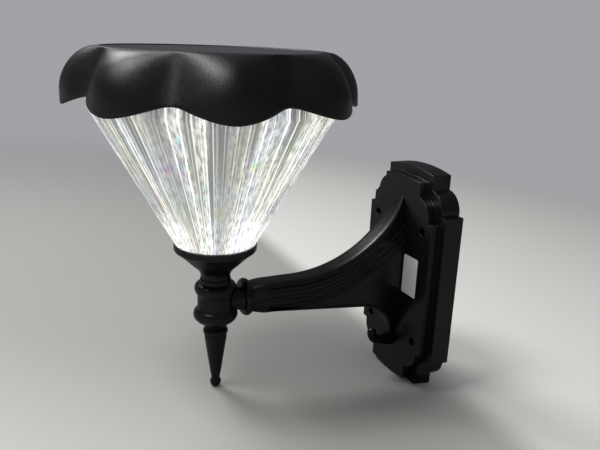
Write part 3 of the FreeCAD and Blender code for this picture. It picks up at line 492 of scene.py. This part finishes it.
def finish_piece(name: str, mesh: bpy.types.Mesh, body: Body, material: Material,
                 shading: Shading) -> Piece:
    """Turn a mesh into a piece that rides on a body.

    Args:
        name: The piece's name.
        mesh: Its mesh, in metres.
        body: The body that carries the piece.
        material: Its material.
        shading: How its faces are shaded.

    Returns:
        The new object.
    """
    build = bmesh.new()
    build.from_mesh(mesh)
    bmesh.ops.remove_doubles(build, verts=build.verts, dist=1e-6)
    bmesh.ops.recalc_face_normals(build, faces=build.faces)
    build.to_mesh(mesh)
    build.free()
    mesh.materials.clear()
    mesh.materials.append(material)
    mesh.shade_smooth()
    if shading is Shading.CREASED:
        mesh.set_sharp_from_angle(angle=CREASE_ANGLE)
    piece = bpy.data.objects.new(name, mesh)
    bpy.context.scene.collection.objects.link(piece)
    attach(piece, body.value)
    return piece


def apply_modifiers(piece: Piece) -> None:
    """Make a piece's modifiers part of its mesh."""
    depsgraph = bpy.context.evaluated_depsgraph_get()
    done = bpy.data.meshes.new_from_object(piece.evaluated_get(depsgraph))
    piece.modifiers.clear()
    piece.data = done


def rings_piece(name: str, rings: Sequence[Sequence[Point]], material: Material,
                shading: Shading = Shading.CREASED, capped: bool = True) -> Piece:
    """Make a piece of the bracket from closed rings that follow one another.

    Args:
        name: The piece's name.
        rings: Rings with as many points each, in millimetres.
        material: Its material.
        shading: How its faces are shaded.
        capped: Whether the first and last ring are closed off.

    Returns:
        The new piece.
    """
    size = len(rings[0])
    faces: list[tuple[int, ...]] = []
    for r in range(len(rings) - 1):
        for c in range(size):
            n = (c + 1) % size
            faces.append((r * size + c, r * size + n, (r + 1) * size + n, (r + 1) * size + c))
    points = [point for ring in rings for point in ring]
    if capped:
        faces += [tuple(range(size)), tuple(range(len(points) - size, len(points)))]
    return new_piece(name, points, faces, Body.BRACKET, material, shading)


def columns_piece(name: str, outlines: Sequence[Profile], start: float, body: Body,
                  material: Material) -> Piece:
    """Make a piece from outlines that stand evenly round the lamp axis.

    Args:
        name: The piece's name.
        outlines: Radius and height pairs of each outline.
        start: Direction of the first outline, in radians.
        body: The body that carries the piece.
        material: Its material.

    Returns:
        The new piece.
    """
    count, size = len(outlines), len(outlines[0])
    points: list[Point] = []
    faces = []
    for c, outline in enumerate(outlines):
        angle = start + math.tau * c / count
        points += [(r * math.cos(angle), LAMP_Y + r * math.sin(angle), z) for r, z in outline]
        n = (c + 1) % count
        for r in range(size - 1):
            faces.append((c * size + r, n * size + r, n * size + r + 1, c * size + r + 1))
    return new_piece(name, points, faces, body, material, Shading.CREASED)


def flowing(points: Profile) -> Profile:
    """Return a smooth line through points; a point given twice stays a corner."""
    line: Profile = []
    count = len(points)
    for i in range(count - 1):
        p1, p2 = points[i], points[i + 1]
        if p1 == p2:
            continue
        p0 = points[i - 1] if i > 0 else p1
        p3 = points[i + 2] if i + 2 < count else p2
        for k in range(FLOW_STEPS):
            t = k / FLOW_STEPS
            line.append(tuple(
                0.5 * (2 * b + (c - a) * t + (2 * a - 5 * b + 4 * c - e) * t * t
                       + (3 * b - a - 3 * c + e) * t ** 3)
                for a, b, c, e in zip(p0, p1, p2, p3)))
    line.append(points[-1])
    return line


def circle(radius: float, segments: int) -> Profile:
    """Return the corners of a many-sided circle round (0, 0)."""
    angles = (math.tau * k / segments for k in range(segments))
    return [(radius * math.cos(a), radius * math.sin(a)) for a in angles]


def turned(name: str, profile: Profile, material: Material, segments: int = 96) -> Piece:
    """Turn a closed outline round the lamp axis, as a piece of the bracket.

    Args:
        name: The piece's name.
        profile: Radius and height pairs, from the axis or a bore round to the start.
        material: Its material.
        segments: Steps round the axis.

    Returns:
        The new piece.
    """
    rings = [[(x, LAMP_Y + y, height) for x, y in circle(radius, segments)]
             for radius, height in profile]
    return rings_piece(name, rings, material, capped=profile[0] != profile[-1])


# ---- Cap ----
@dataclass
class PetalCap:
    """Moulded cap with eight petals, a raised lip round the panel and a waved hem."""

    top: float = 138.0
    rim_radius: float = 58.0
    petals: int = 8
    turn: float = 33.5               # degrees, middle of the first petal
    petal_reach: float = 18.0
    petal_drop: float = 21.0
    petal_fullness: float = 1.8
    valley_reach: float = 10.0
    valley_drop: float = 22.4
    hem: float = 109.6
    cusp_rise: float = 6.0
    hem_fullness: float = 1.7
    valley_round: float = 0.3        # share of a half petal over which a valley is rounded
    wall: float = 2.0
    recess_radius: float = 54.3
    shelf_top: float = 134.6
    shelf_under: float = 132.0
    lip_round: float = 0.6
    rim_round: float = 0.5
    row_bias: float = 1.35           # brings rows closer together near the rim
    steps: int = 48                  # round one petal
    rows: int = 26                   # down one petal

    def share(self, angle: float) -> float:
        """Return 0 in the middle of a petal and 1 in a valley, at an angle in degrees."""
        sharp = abs(((angle - self.turn) * self.petals / 360.0 + 0.5) % 1.0 - 0.5) * 2
        whole = math.hypot(1.0, self.valley_round)
        least = self.valley_round / whole
        rounded = math.hypot(1.0 - sharp, self.valley_round) / whole
        return (1.0 - rounded) / (1.0 - least)

    def radius(self, height: float, share: float) -> float:
        """Return the cap's outer radius.

        Args:
            height: Height in millimetres.
            share: 0 in the middle of a petal, 1 in a valley.

        Returns:
            The radius in millimetres.
        """
        drop = self.top - height
        curved = min(drop / self.petal_drop, 1.0)
        full = self.petal_fullness
        petal = self.petal_reach * (1 - (1 - curved) ** full) ** (1 / full)
        valley = min(self.valley_reach * drop / self.valley_drop, petal)
        return self.rim_radius + valley + (petal - valley) * (1 - share ** full)

    def column(self, angle: float) -> Profile:
        """Return the shell's outline at an angle, from the recess out, down and back inside.

        Args:
            angle: Direction from the lamp axis, in degrees.

        Returns:
            Radius and height pairs.
        """
        share = self.share(angle)
        hem = self.hem + self.cusp_rise * share ** self.hem_fullness
        lip, bevel, inner = self.lip_round, self.rim_round, self.recess_radius
        line: Profile = [
            (0.0, self.shelf_top), (inner, self.shelf_top), (inner, self.top - lip),
            (inner + lip / 3, self.top - lip / 3), (inner + lip, self.top),
            (self.rim_radius - bevel, self.top),
            (self.rim_radius - bevel / 5, self.top - bevel * 0.3)]
        turn_at = hem + self.wall / 2
        for k in range(self.rows + 1):
            t = (k / self.rows) ** self.row_bias
            height = self.top - bevel + (turn_at - self.top + bevel) * t
            line.append((self.radius(height, share), height))
        edge = self.radius(turn_at, share) - self.wall / 2
        for k in range(1, 6):
            bend = math.pi * k / 6
            line.append((edge + self.wall / 2 * math.cos(bend),
                         turn_at - self.wall / 2 * math.sin(bend)))
        for k in range(9):
            height = turn_at + (self.shelf_under - turn_at) * k / 8
            line.append((self.radius(height, share) - self.wall, height))
        line.append((0.0, self.shelf_under))
        return line

    def build(self, finish: Material) -> Piece:
        """Build the cap."""
        count = self.steps * self.petals
        outlines = [self.column(self.turn + 360.0 * k / count) for k in range(count)]
        cap = columns_piece("cap_shell", outlines, math.radians(self.turn), Body.CAP, finish)
        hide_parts("petal_cap")
        return cap


# ---- Lens ----
@dataclass
class RibbedLens:
    """Clear cone with rounded ribs, a plain collar and a round foot."""

    base_radius: float = 22.2
    base: float = 35.4
    mouth_radius: float = 63.9
    collar_low: float = 108.8
    mouth: float = 116.4
    wall: float = 2.4
    floor: float = 37.8
    foot_radius: float = 19.9
    foot_low: float = 32.2
    ribs: int = 72
    rib_depth: float = 0.8
    steps: int = 6                   # round one rib
    rows: int = 12

    def outer(self, angle: float, t: float) -> float:
        """Return the ribbed radius at an angle in radians, t of the way up the cone."""
        plain = self.base_radius + (self.mouth_radius - self.base_radius) * t
        wave = abs(math.cos(angle * self.ribs / 2))
        return plain - self.rib_depth * (0.6 + 0.4 * t) * (1 - wave)

    def outline(self, angle: float) -> Profile:
        """Return the lens's outline at an angle, from the middle of its foot round to its floor.

        Args:
            angle: Direction from the lamp axis, in radians.

        Returns:
            Radius and height pairs.
        """
        line: Profile = [(0.0, self.foot_low), (self.foot_radius, self.foot_low),
                         (self.foot_radius, self.base)]
        for k in range(self.rows + 1):
            t = k / self.rows
            line.append((self.outer(angle, t), self.base + (self.collar_low - self.base) * t))
        line += [(self.mouth_radius, self.collar_low + 0.3), (self.mouth_radius, self.mouth),
                 (self.mouth_radius - self.wall, self.mouth),
                 (self.mouth_radius - self.wall, self.collar_low)]
        for k in range(1, self.rows + 1):
            t = 1 - k / self.rows
            inner = self.base_radius - self.wall + (self.mouth_radius - self.base_radius) * t
            line.append((inner, self.floor + (self.collar_low - self.floor) * t))
        line.append((0.0, self.floor))
        return line

    def build(self, finish: Material) -> Piece:
        """Build the lens."""
        count = self.ribs * self.steps
        outlines = [self.outline(math.tau * k / count) for k in range(count)]
        lens = columns_piece("ribbed_lens", outlines, 0.0, Body.SHADE, finish)
        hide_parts("lens_cone")
        return lens


# ---- Stem ----
@dataclass
class Stem:
    """Turned stem: cup, hub with its side neck, bead collar and finial."""

    bore: float = 2.6
    neck_radius: float = 7.0
    arm_start: float = -118.5
    collar_radius: float = 10.9
    collar_width: float = 5.0
    side_steps: int = 72             # round the side neck and the collar
    cup: Profile = field(default_factory=lambda: [
        (2.6, 14.2), (2.6, 14.2), (8.0, 14.2), (8.0, 14.2), (8.2, 14.6), (8.3, 16.6),
        (9.0, 18.4), (10.6, 20.5), (13.9, 23.5), (17.8, 27.4), (21.2, 30.4), (22.3, 31.1),
        (22.8, 31.9), (22.8, 31.9), (22.8, 34.6), (22.8, 34.6), (22.4, 35.0), (22.4, 35.0),
        (20.2, 35.0), (20.2, 35.0), (20.2, 33.7), (20.2, 33.7), (21.5, 33.7), (21.5, 33.7),
        (21.5, 31.4), (21.5, 31.4), (8.5, 31.4), (8.5, 31.4), (8.5, 22.0), (8.5, 22.0),
        (2.6, 22.0), (2.6, 22.0), (2.6, 14.2)])
    hub: Profile = field(default_factory=lambda: [
        (2.6, -16.1), (2.6, -16.1), (5.6, -16.1), (5.9, -15.8), (6.4, -14.9), (8.2, -12.6),
        (10.6, -11.0), (12.2, -9.0), (12.5, -7.2), (12.0, -5.2), (10.7, -3.6), (10.2, -2.2),
        (10.15, 0.5), (10.2, 3.4), (10.5, 4.9), (11.4, 6.4), (11.8, 8.3), (11.4, 10.2),
        (10.0, 11.4), (8.9, 11.7), (8.9, 11.7), (8.7, 12.0), (8.7, 13.8), (8.5, 14.2),
        (8.5, 14.2), (2.6, 14.2), (2.6, 14.2), (2.6, -16.1)])
    finial: Profile = field(default_factory=lambda: [
        (0.01, -16.1), (0.01, -16.1), (5.9, -16.1), (5.9, -16.1), (6.8, -16.9), (7.1, -18.1),
        (6.8, -19.3), (6.1, -20.1), (6.1, -20.1), (6.35, -21.2), (6.3, -22.2), (5.9, -25.0),
        (4.6, -34.0), (3.3, -43.0), (2.5, -47.4), (2.4, -48.2), (2.5, -48.6), (3.0, -49.8),
        (3.15, -51.0), (2.8, -52.5), (2.0, -53.5), (1.0, -54.05), (0.01, -54.15)])

    def build(self, finish: Material) -> list[Piece]:
        """Build the stem's pieces."""
        cup = turned("turned_cup", flowing(self.cup), finish)
        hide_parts("lens_cup")
        hub = turned("turned_hub", flowing(self.hub), finish)
        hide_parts("stem_hub")
        finial = turned("turned_finial", flowing(self.finial), finish, 64)
        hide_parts("finial")
        pieces = [cup, hub, finial, self.side_neck(finish), self.collar(finish)]
        return pieces

    def lying(self, name: str, outline: Profile, finish: Material) -> Piece:
        """Turn an outline of radius and y pairs round the arm's axis, as a piece."""
        rings = [[(x, y, z) for x, z in circle(radius, self.side_steps)] for radius, y in outline]
        return rings_piece(name, rings, finish)

    def side_neck(self, finish: Material) -> Piece:
        """Build the neck between hub and collar."""
        start = self.arm_start - self.collar_width
        outline = flowing([(self.neck_radius, LAMP_Y + 5), (self.neck_radius, start - 3.2),
                           (self.neck_radius + 0.3, start - 1.6),
                           (self.neck_radius + 0.9, start)])
        return self.lying("side_neck", outline, finish)

    def collar(self, finish: Material) -> Piece:
        """Build the bead collar."""
        half = self.collar_width / 2
        middle = self.arm_start - half
        outline = [(self.bore, middle - half)]
        for k in range(13):
            bend = math.pi * (k / 12 - 0.5)
            outline.append((self.collar_radius - half + half * math.cos(bend),
                            middle + half * math.sin(bend)))
        outline.append((self.bore, middle + half))
        collar = self.lying("bead_collar", outline, finish)
        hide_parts("arm_collar")
        return collar


# ---- Arm ----
@dataclass
class FlutedArm:
    """Arm that flares up the plate, with three flutes a side, a scroll hollow and a hook."""

    start: float = -118.5
    root: float = -18.4
    straight: float = 28.5
    end_radius: float = 8.5
    top_radius: float = 79.2
    half_width: float = 7.6
    tip_radius: float = 3.1
    taper_height: float = 22.0
    taper_bulge: float = 1.53
    lip_y: float = -40.9
    lip_z: float = -16.8
    scroll_radius: float = 27.0
    web_y: float = -21.3
    scroll_end: float = -36.5
    foot: float = -42.0
    foot_half: float = 2.4
    foot_taper: float = -15.0        # where the sides start to draw in downwards
    edge_round: float = 3.2
    flute_tops: tuple[float, ...] = (-6.8, -1.6, 3.6)
    flute_half: float = 2.2
    flute_depth: float = 0.75
    flute_bend_y: float = -91.5
    flute_sweep: float = 96.0
    flute_start: float = 4.0         # where the flutes begin, from the arm's start
    flute_run: float = 10.0          # over which they reach their depth
    start_blend: float = 0.45        # how far the first section is from round
    start_run: float = 16.0          # scale of the length over which the roundness goes
    start_inset: float = 0.4
    hook_radius: float = 3.0
    hook_root_radius: float = 4.6
    hook_bend: float = 6.3
    hook_z: float = -44.6
    hook_straight: float = 7.6
    hook_segments: int = 28

    def top(self, y: float) -> float:
        """Return the height of the top edge at y."""
        run = max(y - self.start - self.straight, 0.0)
        return (self.end_radius + self.top_radius
                - math.sqrt(self.top_radius ** 2 - run ** 2))

    def bottom(self, y: float) -> float:
        """Return the height of the underside at y, as far as the web."""
        if y <= self.lip_y:
            t = (y - self.start) / (self.lip_y - self.start)
            return -self.end_radius + (self.lip_z + self.end_radius) * t
        # The hollow's centre lies below and outside the two ends of the scroll
        chord = Vector((self.web_y - self.lip_y, self.scroll_end - self.lip_z))
        middle = Vector((self.lip_y, self.lip_z)) + chord / 2
        reach = math.sqrt(max(self.scroll_radius ** 2 - (chord.length / 2) ** 2, 0.0))
        outwards = Vector((chord.y, -chord.x)).normalized()
        centre = middle + outwards * reach
        span = max(self.scroll_radius ** 2 - (y - centre.x) ** 2, 0.0)
        return centre.y + math.sqrt(span)

    def width(self, z: float) -> float:
        """Return the half-width at a height: level, then drawn in to the tip."""
        tip_low = self.top(self.root) - self.tip_radius
        if z > tip_low:
            return math.sqrt(max(self.tip_radius ** 2 - (z - tip_low) ** 2, 0.0))
        if self.foot_taper <= z <= self.taper_height:
            return self.half_width
        if z < self.foot_taper:
            end = self.foot_half
            t = min((self.foot_taper - z) / (self.foot_taper - self.foot), 1.0)
        else:
            end = self.tip_radius
            t = (z - self.taper_height) / (tip_low - self.taper_height)
        return (self.half_width + (end - self.half_width) * t
                + 4 * self.taper_bulge * t * (1 - t))

    def flute(self, low: float, y: float) -> tuple[float, float]:
        """Return a flute's height at y and its half-height there.

        Args:
            low: The flute's height on the level stretch.
            y: Where along the arm.

        Returns:
            Height, and half-height measured upright.
        """
        run = max(y - self.flute_bend_y, 0.0)
        rise = math.sqrt(self.flute_sweep ** 2 - run ** 2)
        return low + self.flute_sweep - rise, self.flute_half * self.flute_sweep / rise

    def side(self, y: float, bottom: float) -> Profile:
        """Return half of the section at y as (x, z), from under to over the arm.

        Args:
            y: Where along the arm.
            bottom: Height of the underside there.

        Returns:
            Points from the middle of the underside to the middle of the top.
        """
        top = self.top(y)
        under = min(self.edge_round, self.width(bottom) * 0.8)
        over = min(self.edge_round, self.width(top - self.edge_round * 0.7))
        low, high = bottom + under, top - over
        line: Profile = [(self.width(low) * k / 4, bottom) for k in range(3)]
        wide = self.width(low)
        for k in range(7):
            bend = math.pi / 2 * k / 6
            line.append((wide - under + under * math.sin(bend),
                         bottom + under - under * math.cos(bend)))
        marks = []
        for flute_low in self.flute_tops:
            middle, half = self.flute(flute_low, y)
            for k in range(-4, 5):
                groove = 0.5 + 0.5 * math.cos(math.pi * k / 4)
                marks.append((middle + half * k / 4, groove * self.flute_depth))
        fade = min(max((y - self.start - self.flute_start) / self.flute_run, 0.0), 1.0)
        first, last = marks[0][0], marks[-1][0]
        for k in range(1, 7):
            z = low + (first - low) * k / 7
            line.append((self.width(z), z))
        for z, groove in marks:
            z = min(max(z, low + 0.01), high - 0.01)
            line.append((self.width(z) - groove * fade, z))
        for k in range(1, 9):
            z = last + (high - last) * k / 8
            z = max(z, min(last, high - 0.01))
            line.append((self.width(z), z))
        wide = self.width(high)
        for k in range(1, 7):
            bend = math.pi / 2 * k / 6
            line.append((max(wide - over + over * math.cos(bend), 0.0),
                         high + over * math.sin(bend)))
        wide = max(wide - over, 0.0)
        line += [(wide * 0.5, top), (0.0, top)]
        return line

    def stations(self) -> list[tuple[float, float]]:
        """Return y and underside height of every section."""
        places = [self.start + (self.lip_y - 1.0 - self.start) * k / 44 for k in range(45)]
        places += [self.lip_y - 0.4, self.lip_y]
        places += [self.lip_y + (self.web_y - self.lip_y) * k / 14 for k in range(1, 14)]
        sections = [(y, self.bottom(y)) for y in places]
        sections += [(self.web_y, self.scroll_end), (self.web_y, self.foot + 1.0),
                     (self.web_y + 0.5, self.foot), (self.root, self.foot)]
        return sections

    def build(self, finish: Material) -> list[Piece]:
        """Build the arm and its hook."""
        rings = []
        for y, bottom in self.stations():
            half = self.side(y, bottom)
            ring = half + [(-x, z) for x, z in half[-2:0:-1]]
            morph = min(max(self.start_blend + (y - self.start) / self.start_run, 0.0), 1.0)
            morph = morph * morph * (3 - 2 * morph)
            middle = (self.top(y) + bottom) / 2 if morph < 1 else 0.0
            section = []
            for x, z in ring:
                if morph < 1:
                    angle = math.atan2(z - middle, x)
                    radius = self.end_radius - self.start_inset * (1 - morph)
                    round_x, round_z = radius * math.cos(angle), radius * math.sin(angle)
                    x, z = round_x + (x - round_x) * morph, round_z + (z - round_z) * morph
                section.append((x, y, z))
            rings.append(section)
        arm = rings_piece("fluted_arm", rings, finish)
        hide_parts("bracket_arm")
        pieces = [arm, self.hook(finish)]
        return pieces

    def hook(self, finish: Material) -> Piece:
        """Build the round hook that curls out and up under the scroll."""
        out = self.root - self.hook_straight
        path = [(self.root, self.hook_z, 0.0), (out, self.hook_z, 0.0)]
        for k in range(1, 13):
            bend = math.pi / 2 * k / 12
            path.append((out - self.hook_bend * math.sin(bend),
                         self.hook_z + self.hook_bend * (1 - math.cos(bend)), bend))
        radii = [self.hook_root_radius] + [self.hook_radius] * (len(path) - 1)
        tip_y, tip_z, _ = path[-1]
        for k in range(1, 7):
            dome = math.pi / 2 * k / 6
            path.append((tip_y, tip_z + self.hook_radius * math.sin(dome), math.pi / 2))
            radii.append(max(self.hook_radius * math.cos(dome), 0.01))
        rings = [[(x, y - across * math.sin(bend), z - across * math.cos(bend))
                  for x, across in circle(radius, self.hook_segments)]
                 for (y, z, bend), radius in zip(path, radii)]
        return rings_piece("scroll_hook", rings, finish, Shading.SMOOTH)


# ---- Wall plate ----
@dataclass
class WallPlate:
    """Two-layer plate with softened edges, and its blank sticker."""

    front: float = -18.4
    edge_round: float = 0.0011       # metres
    label_x: tuple[float, float] = (9.0, 23.4)
    label_z: tuple[float, float] = (-7.5, 17.5)
    label_round: float = 1.2
    label_height: float = 0.15

    def build(self, node: Piece, finish: Material, label: Material) -> list[Piece]:
        """Build the plate and its sticker.

        Args:
            node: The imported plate, whose shape is taken over.
            finish: The plate's material.
            label: The sticker's material.

        Returns:
            The pieces.
        """
        plate = rounded_copy("rounded_plate", node, self.edge_round, finish)
        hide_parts("wall_plate")
        return [plate, self.sticker(label)]

    def sticker(self, label: Material) -> Piece:
        """Build the sticker with its rounded corners."""
        outline = []
        (low_x, high_x), (low_z, high_z) = self.label_x, self.label_z
        r = self.label_round
        corners = ((high_x - r, high_z - r, 0), (low_x + r, high_z - r, 1),
                   (low_x + r, low_z + r, 2), (high_x - r, low_z + r, 3))
        for x, z, quarter in corners:
            for k in range(6):
                angle = math.pi / 2 * (quarter + k / 5)
                outline.append((x + r * math.cos(angle), z + r * math.sin(angle)))
        rings = [[(x, y, z) for x, z in outline]
                 for y in (self.front, self.front - self.label_height)]
        piece = rings_piece("blank_label", rings, label)
        return piece


def rounded_copy(name: str, node: Piece, edge: float, finish: Material) -> Piece:
    """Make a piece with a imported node's shape and softened edges.

    Args:
        name: The piece's name.
        node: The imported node.
        edge: Width of the softened edges in metres.
        finish: The piece's material.

    Returns:
        The new piece.
    """
    mesh = node.data.copy()
    build = bmesh.new()
    build.from_mesh(mesh)
    bmesh.ops.remove_doubles(build, verts=build.verts, dist=1e-5)
    bmesh.ops.dissolve_limit(build, angle_limit=math.radians(0.6), verts=build.verts,
                             edges=build.edges)
    build.to_mesh(mesh)
    build.free()
    piece = finish_piece(name, mesh, Body(node["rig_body"]), finish, Shading.CREASED)
    bevel = piece.modifiers.new("soft edges", "BEVEL")
    bevel.width = edge
    bevel.segments = 3
    bevel.limit_method = "ANGLE"
    bevel.angle_limit = CREASE_ANGLE
    bevel.harden_normals = True
    apply_modifiers(piece)
    return piece


# ---- Carried-over pieces and the studio ----
def dress_nodes(nodes: dict[str, Piece]) -> None:
    """Give every carried-over node its own finish."""
    finishes = (
        (PlainFinish("zinc steel", (0.5, 0.51, 0.53), 0.3, 1.0, 1800.0, 0.00001),
         ("arm_screws", "arm_stud", "tie_rod", "tie_washer", "tie_nut", "tray_screws",
          "board_screws")),
        (PlainFinish("soft rubber", (0.02, 0.02, 0.021), 0.7),
         ("lens_gasket", "tray_gasket", "mouth_seal")),
        (PlainFinish("grey moulding", (0.6, 0.61, 0.62), 0.5), ("light_tray", "board_standoffs")),
        (PlainFinish("black moulding", (0.02, 0.02, 0.021), 0.5),
         ("battery_holder", "board_parts", "switch_housing")),
        (PlainFinish("white solder mask", (0.82, 0.82, 0.8), 0.3), ("led_board",)),
        (CoverGlass(), ("panel_glass",)),
        (CellFinish(), ("solar_cells",)),
        (PlainFinish("panel backing", (0.012, 0.014, 0.02), 0.4), ("panel_board",)),
        (PlainFinish("grey sealant", (0.3, 0.3, 0.31), 0.6), ("panel_adhesive",)),
        (PlainFinish("lit phosphor", (1.0, 0.93, 0.72), 0.3, glow=1.0), ("leds",)),
        (PlainFinish("bright reflector", (0.85, 0.86, 0.88), 0.12, 1.0), ("base_reflector",)),
        (PlainFinish("shrink wrap", (0.04, 0.17, 0.42), 0.28), ("battery",)),
        (PlainFinish("green solder mask", (0.02, 0.16, 0.06), 0.3), ("charge_board",)),
        (PlainFinish("red button", (0.5, 0.02, 0.02), 0.25), ("switch_button",)),
    )
    for finish, names in finishes:
        material = finish.material()
        for name in names:
            nodes[name].data.materials.clear()
            nodes[name].data.materials.append(material)


@dataclass(frozen=True)
class Lamp:
    """Soft square lamp; lengths in metres and power in watts."""

    name: str
    at: Point
    towards: Point
    size: float
    power: float

    def hang(self) -> None:
        """Add the lamp to the scene."""
        data = bpy.data.lights.new(self.name, "AREA")
        data.size = self.size
        data.energy = self.power
        lamp = bpy.data.objects.new(self.name, data)
        bpy.context.scene.collection.objects.link(lamp)
        lamp.location = self.at
        aim = Vector(self.towards) - Vector(self.at)
        lamp.rotation_euler = aim.to_track_quat("-Z", "Y").to_euler()


@dataclass
class Studio:
    """Pale floor, plain soft light and the camera at the photograph's place."""

    camera_at: Point = (0.3237, -0.2447, 0.1489)
    forward: Point = (-0.8608, 0.4184, -0.2897)
    right: Point = (0.42644, 0.90371, 0.03790)
    lens: float = 38.8
    ball_low: Point = (0.0, -0.1386, -0.0542)
    plate_low: Point = (0.0, -0.0092, -0.0684)
    backdrop: Colour = (0.36, 0.36, 0.385)
    room: Colour = (0.42, 0.42, 0.425)
    mirrored_room: Colour = (0.09, 0.09, 0.1)
    mirrored_floor: float = 0.35     # share of the floor's colour that glossy pieces mirror
    sight: tuple[float, float] = (-0.8994, 0.4372)     # direction in which the painted shade on the floor deepens
    floor_half: float = 6.0
    floor_near: Colour = (0.76, 0.76, 0.69)
    floor_shaded: Colour = (0.34, 0.34, 0.325)
    floor_behind: Colour = (0.72, 0.73, 0.69)     # beyond the wall plane
    painted_shade_run: tuple[float, float] = (-0.4, 0.0)       # where the painted shade runs, along the sight
    behind_edge: float = 0.035       # width of the soft edge at the wall plane
    fading: tuple[float, float] = (0.35, 1.0)     # from floor to backdrop, from the plate
    lamps: tuple[Lamp, ...] = (
        Lamp("key", (0.06, -0.56, 0.93), (0.0, -0.12, 0.06), 0.3, 6.5),
        Lamp("back", (-0.51, -0.34, 0.7), (0.0, -0.06, 0.04), 0.25, 3.6))

    def build(self) -> None:
        """Build the camera, the floor and the lights."""
        scene = bpy.context.scene
        scene.view_settings.view_transform = "Standard"
        self.camera(scene)
        self.floor()
        self.world(scene)
        for lamp in self.lamps:
            lamp.hang()

    def camera(self, scene: bpy.types.Scene) -> None:
        """Place the camera and make it the scene's."""
        data = bpy.data.cameras.new("camera")
        data.lens = self.lens
        data.sensor_width = 36.0
        data.clip_start = 0.01
        camera = bpy.data.objects.new("camera", data)
        scene.collection.objects.link(camera)
        forward = Vector(self.forward).normalized()
        right = Vector(self.right)
        right = (right - forward * right.dot(forward)).normalized()
        up = right.cross(forward)
        turn = Matrix((right, up, -forward)).transposed().to_4x4()
        camera.matrix_world = Matrix.Translation(self.camera_at) @ turn
        scene.camera = camera

    def floor(self) -> None:
        """Lay the floor so that the ball and the plate's low edge touch it."""
        slope = (self.plate_low[2] - self.ball_low[2]) / (self.plate_low[1] - self.ball_low[1])
        size = self.floor_half
        corners = [(x, y, self.ball_low[2] + slope * (y - self.ball_low[1]))
                   for x, y in ((-size, -size), (size, -size), (size, size), (-size, size))]
        mesh = bpy.data.meshes.new("floor")
        mesh.from_pydata(corners, [], [(0, 1, 2, 3)])
        recipe = Recipe("pale floor")
        split = recipe.node("SeparateXYZ", {0: recipe.place()})
        away = recipe.plus(recipe.times(split.outputs[0], self.sight[0]),
                           recipe.times(split.outputs[1], self.sight[1]))
        # Painted shade: the floor darkens from near the camera towards the lamp and the wall
        # plane
        tone = recipe.blend(recipe.ramp(away, *self.painted_shade_run), rgb(*self.floor_near),
                            rgb(*self.floor_shaded))
        wall_side = recipe.plus(split.outputs[1], recipe.times(recipe.noise(6.0, 1.0), 0.01))
        behind = recipe.ramp(wall_side, 0.0, self.behind_edge)
        tone = recipe.blend(behind, tone, rgb(*self.floor_behind))
        glossy = recipe.node("LightPath").outputs["Is Glossy Ray"]
        tone = recipe.blend(recipe.times(glossy, 1.0 - self.mirrored_floor), tone,
                            rgb(0.0, 0.0, 0.0))
        recipe.dress(Base_Color=tone, Roughness=0.6,
                     Normal=recipe.bump(recipe.noise(40.0, 3.0), 0.0002))
        far = recipe.node("Emission", {"Color": rgb(*self.backdrop)})
        distance = recipe.node("VectorMath", {0: recipe.place(), 1: self.plate_low},
                               operation="DISTANCE").outputs["Value"]
        fade = recipe.math("SUBTRACT", distance, recipe.times(behind, 0.3))
        mix = recipe.node("MixShader", {0: recipe.ramp(fade, *self.fading),
                                        1: recipe.shader.outputs[0], 2: far.outputs[0]})
        recipe.feed(recipe.output.inputs["Surface"], mix.outputs[0])
        mesh.materials.append(recipe.material)
        floor = bpy.data.objects.new("floor", mesh)
        bpy.context.scene.collection.objects.link(floor)

    def world(self, scene: bpy.types.Scene) -> None:
        """Light the scene from all round, with a grey backdrop where the camera sees it."""
        world = bpy.data.worlds.new("soft room")
        world.use_nodes = True
        tree = world.node_tree
        background = tree.nodes["Background"]
        path = tree.nodes.new("ShaderNodeLightPath")
        light = rgb(*self.room)
        for ray, colour in (("Is Camera Ray", self.backdrop),
                            ("Is Glossy Ray", self.mirrored_room)):
            mix = tree.nodes.new("ShaderNodeMix")
            mix.data_type = "RGBA"
            if isinstance(light, tuple):
                mix.inputs[6].default_value = light
            else:
                tree.links.new(light, mix.inputs[6])
            mix.inputs[7].default_value = rgb(*colour)
            tree.links.new(path.outputs[ray], mix.inputs[0])
            light = mix.outputs[2]
        tree.links.new(light, background.inputs["Color"])
        scene.world = world


def main() -> None:
    """Build every piece in order and report it."""
    logging.basicConfig(level=logging.INFO, format="%(message)s")
    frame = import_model()
    nodes = frame["nodes"]
    gloss = MouldedBlack("satin-gloss black").material()
    satin = MouldedBlack("textured black", roughness=0.36, grain=2200.0,
                         grain_depth=0.00012).material()
    pieces = [PetalCap().build(satin), RibbedLens().build(LitLens().material())]
    pieces += Stem().build(gloss)
    pieces += FlutedArm().build(gloss)
    pieces += WallPlate().build(nodes["wall_plate"], gloss, LabelFinish().material())
    for piece in pieces:
        LOG.info("%s: %d faces", piece.name, len(piece.data.polygons))
    dress_nodes(nodes)
    Studio().build()


if __name__ == "__main__":
    main()
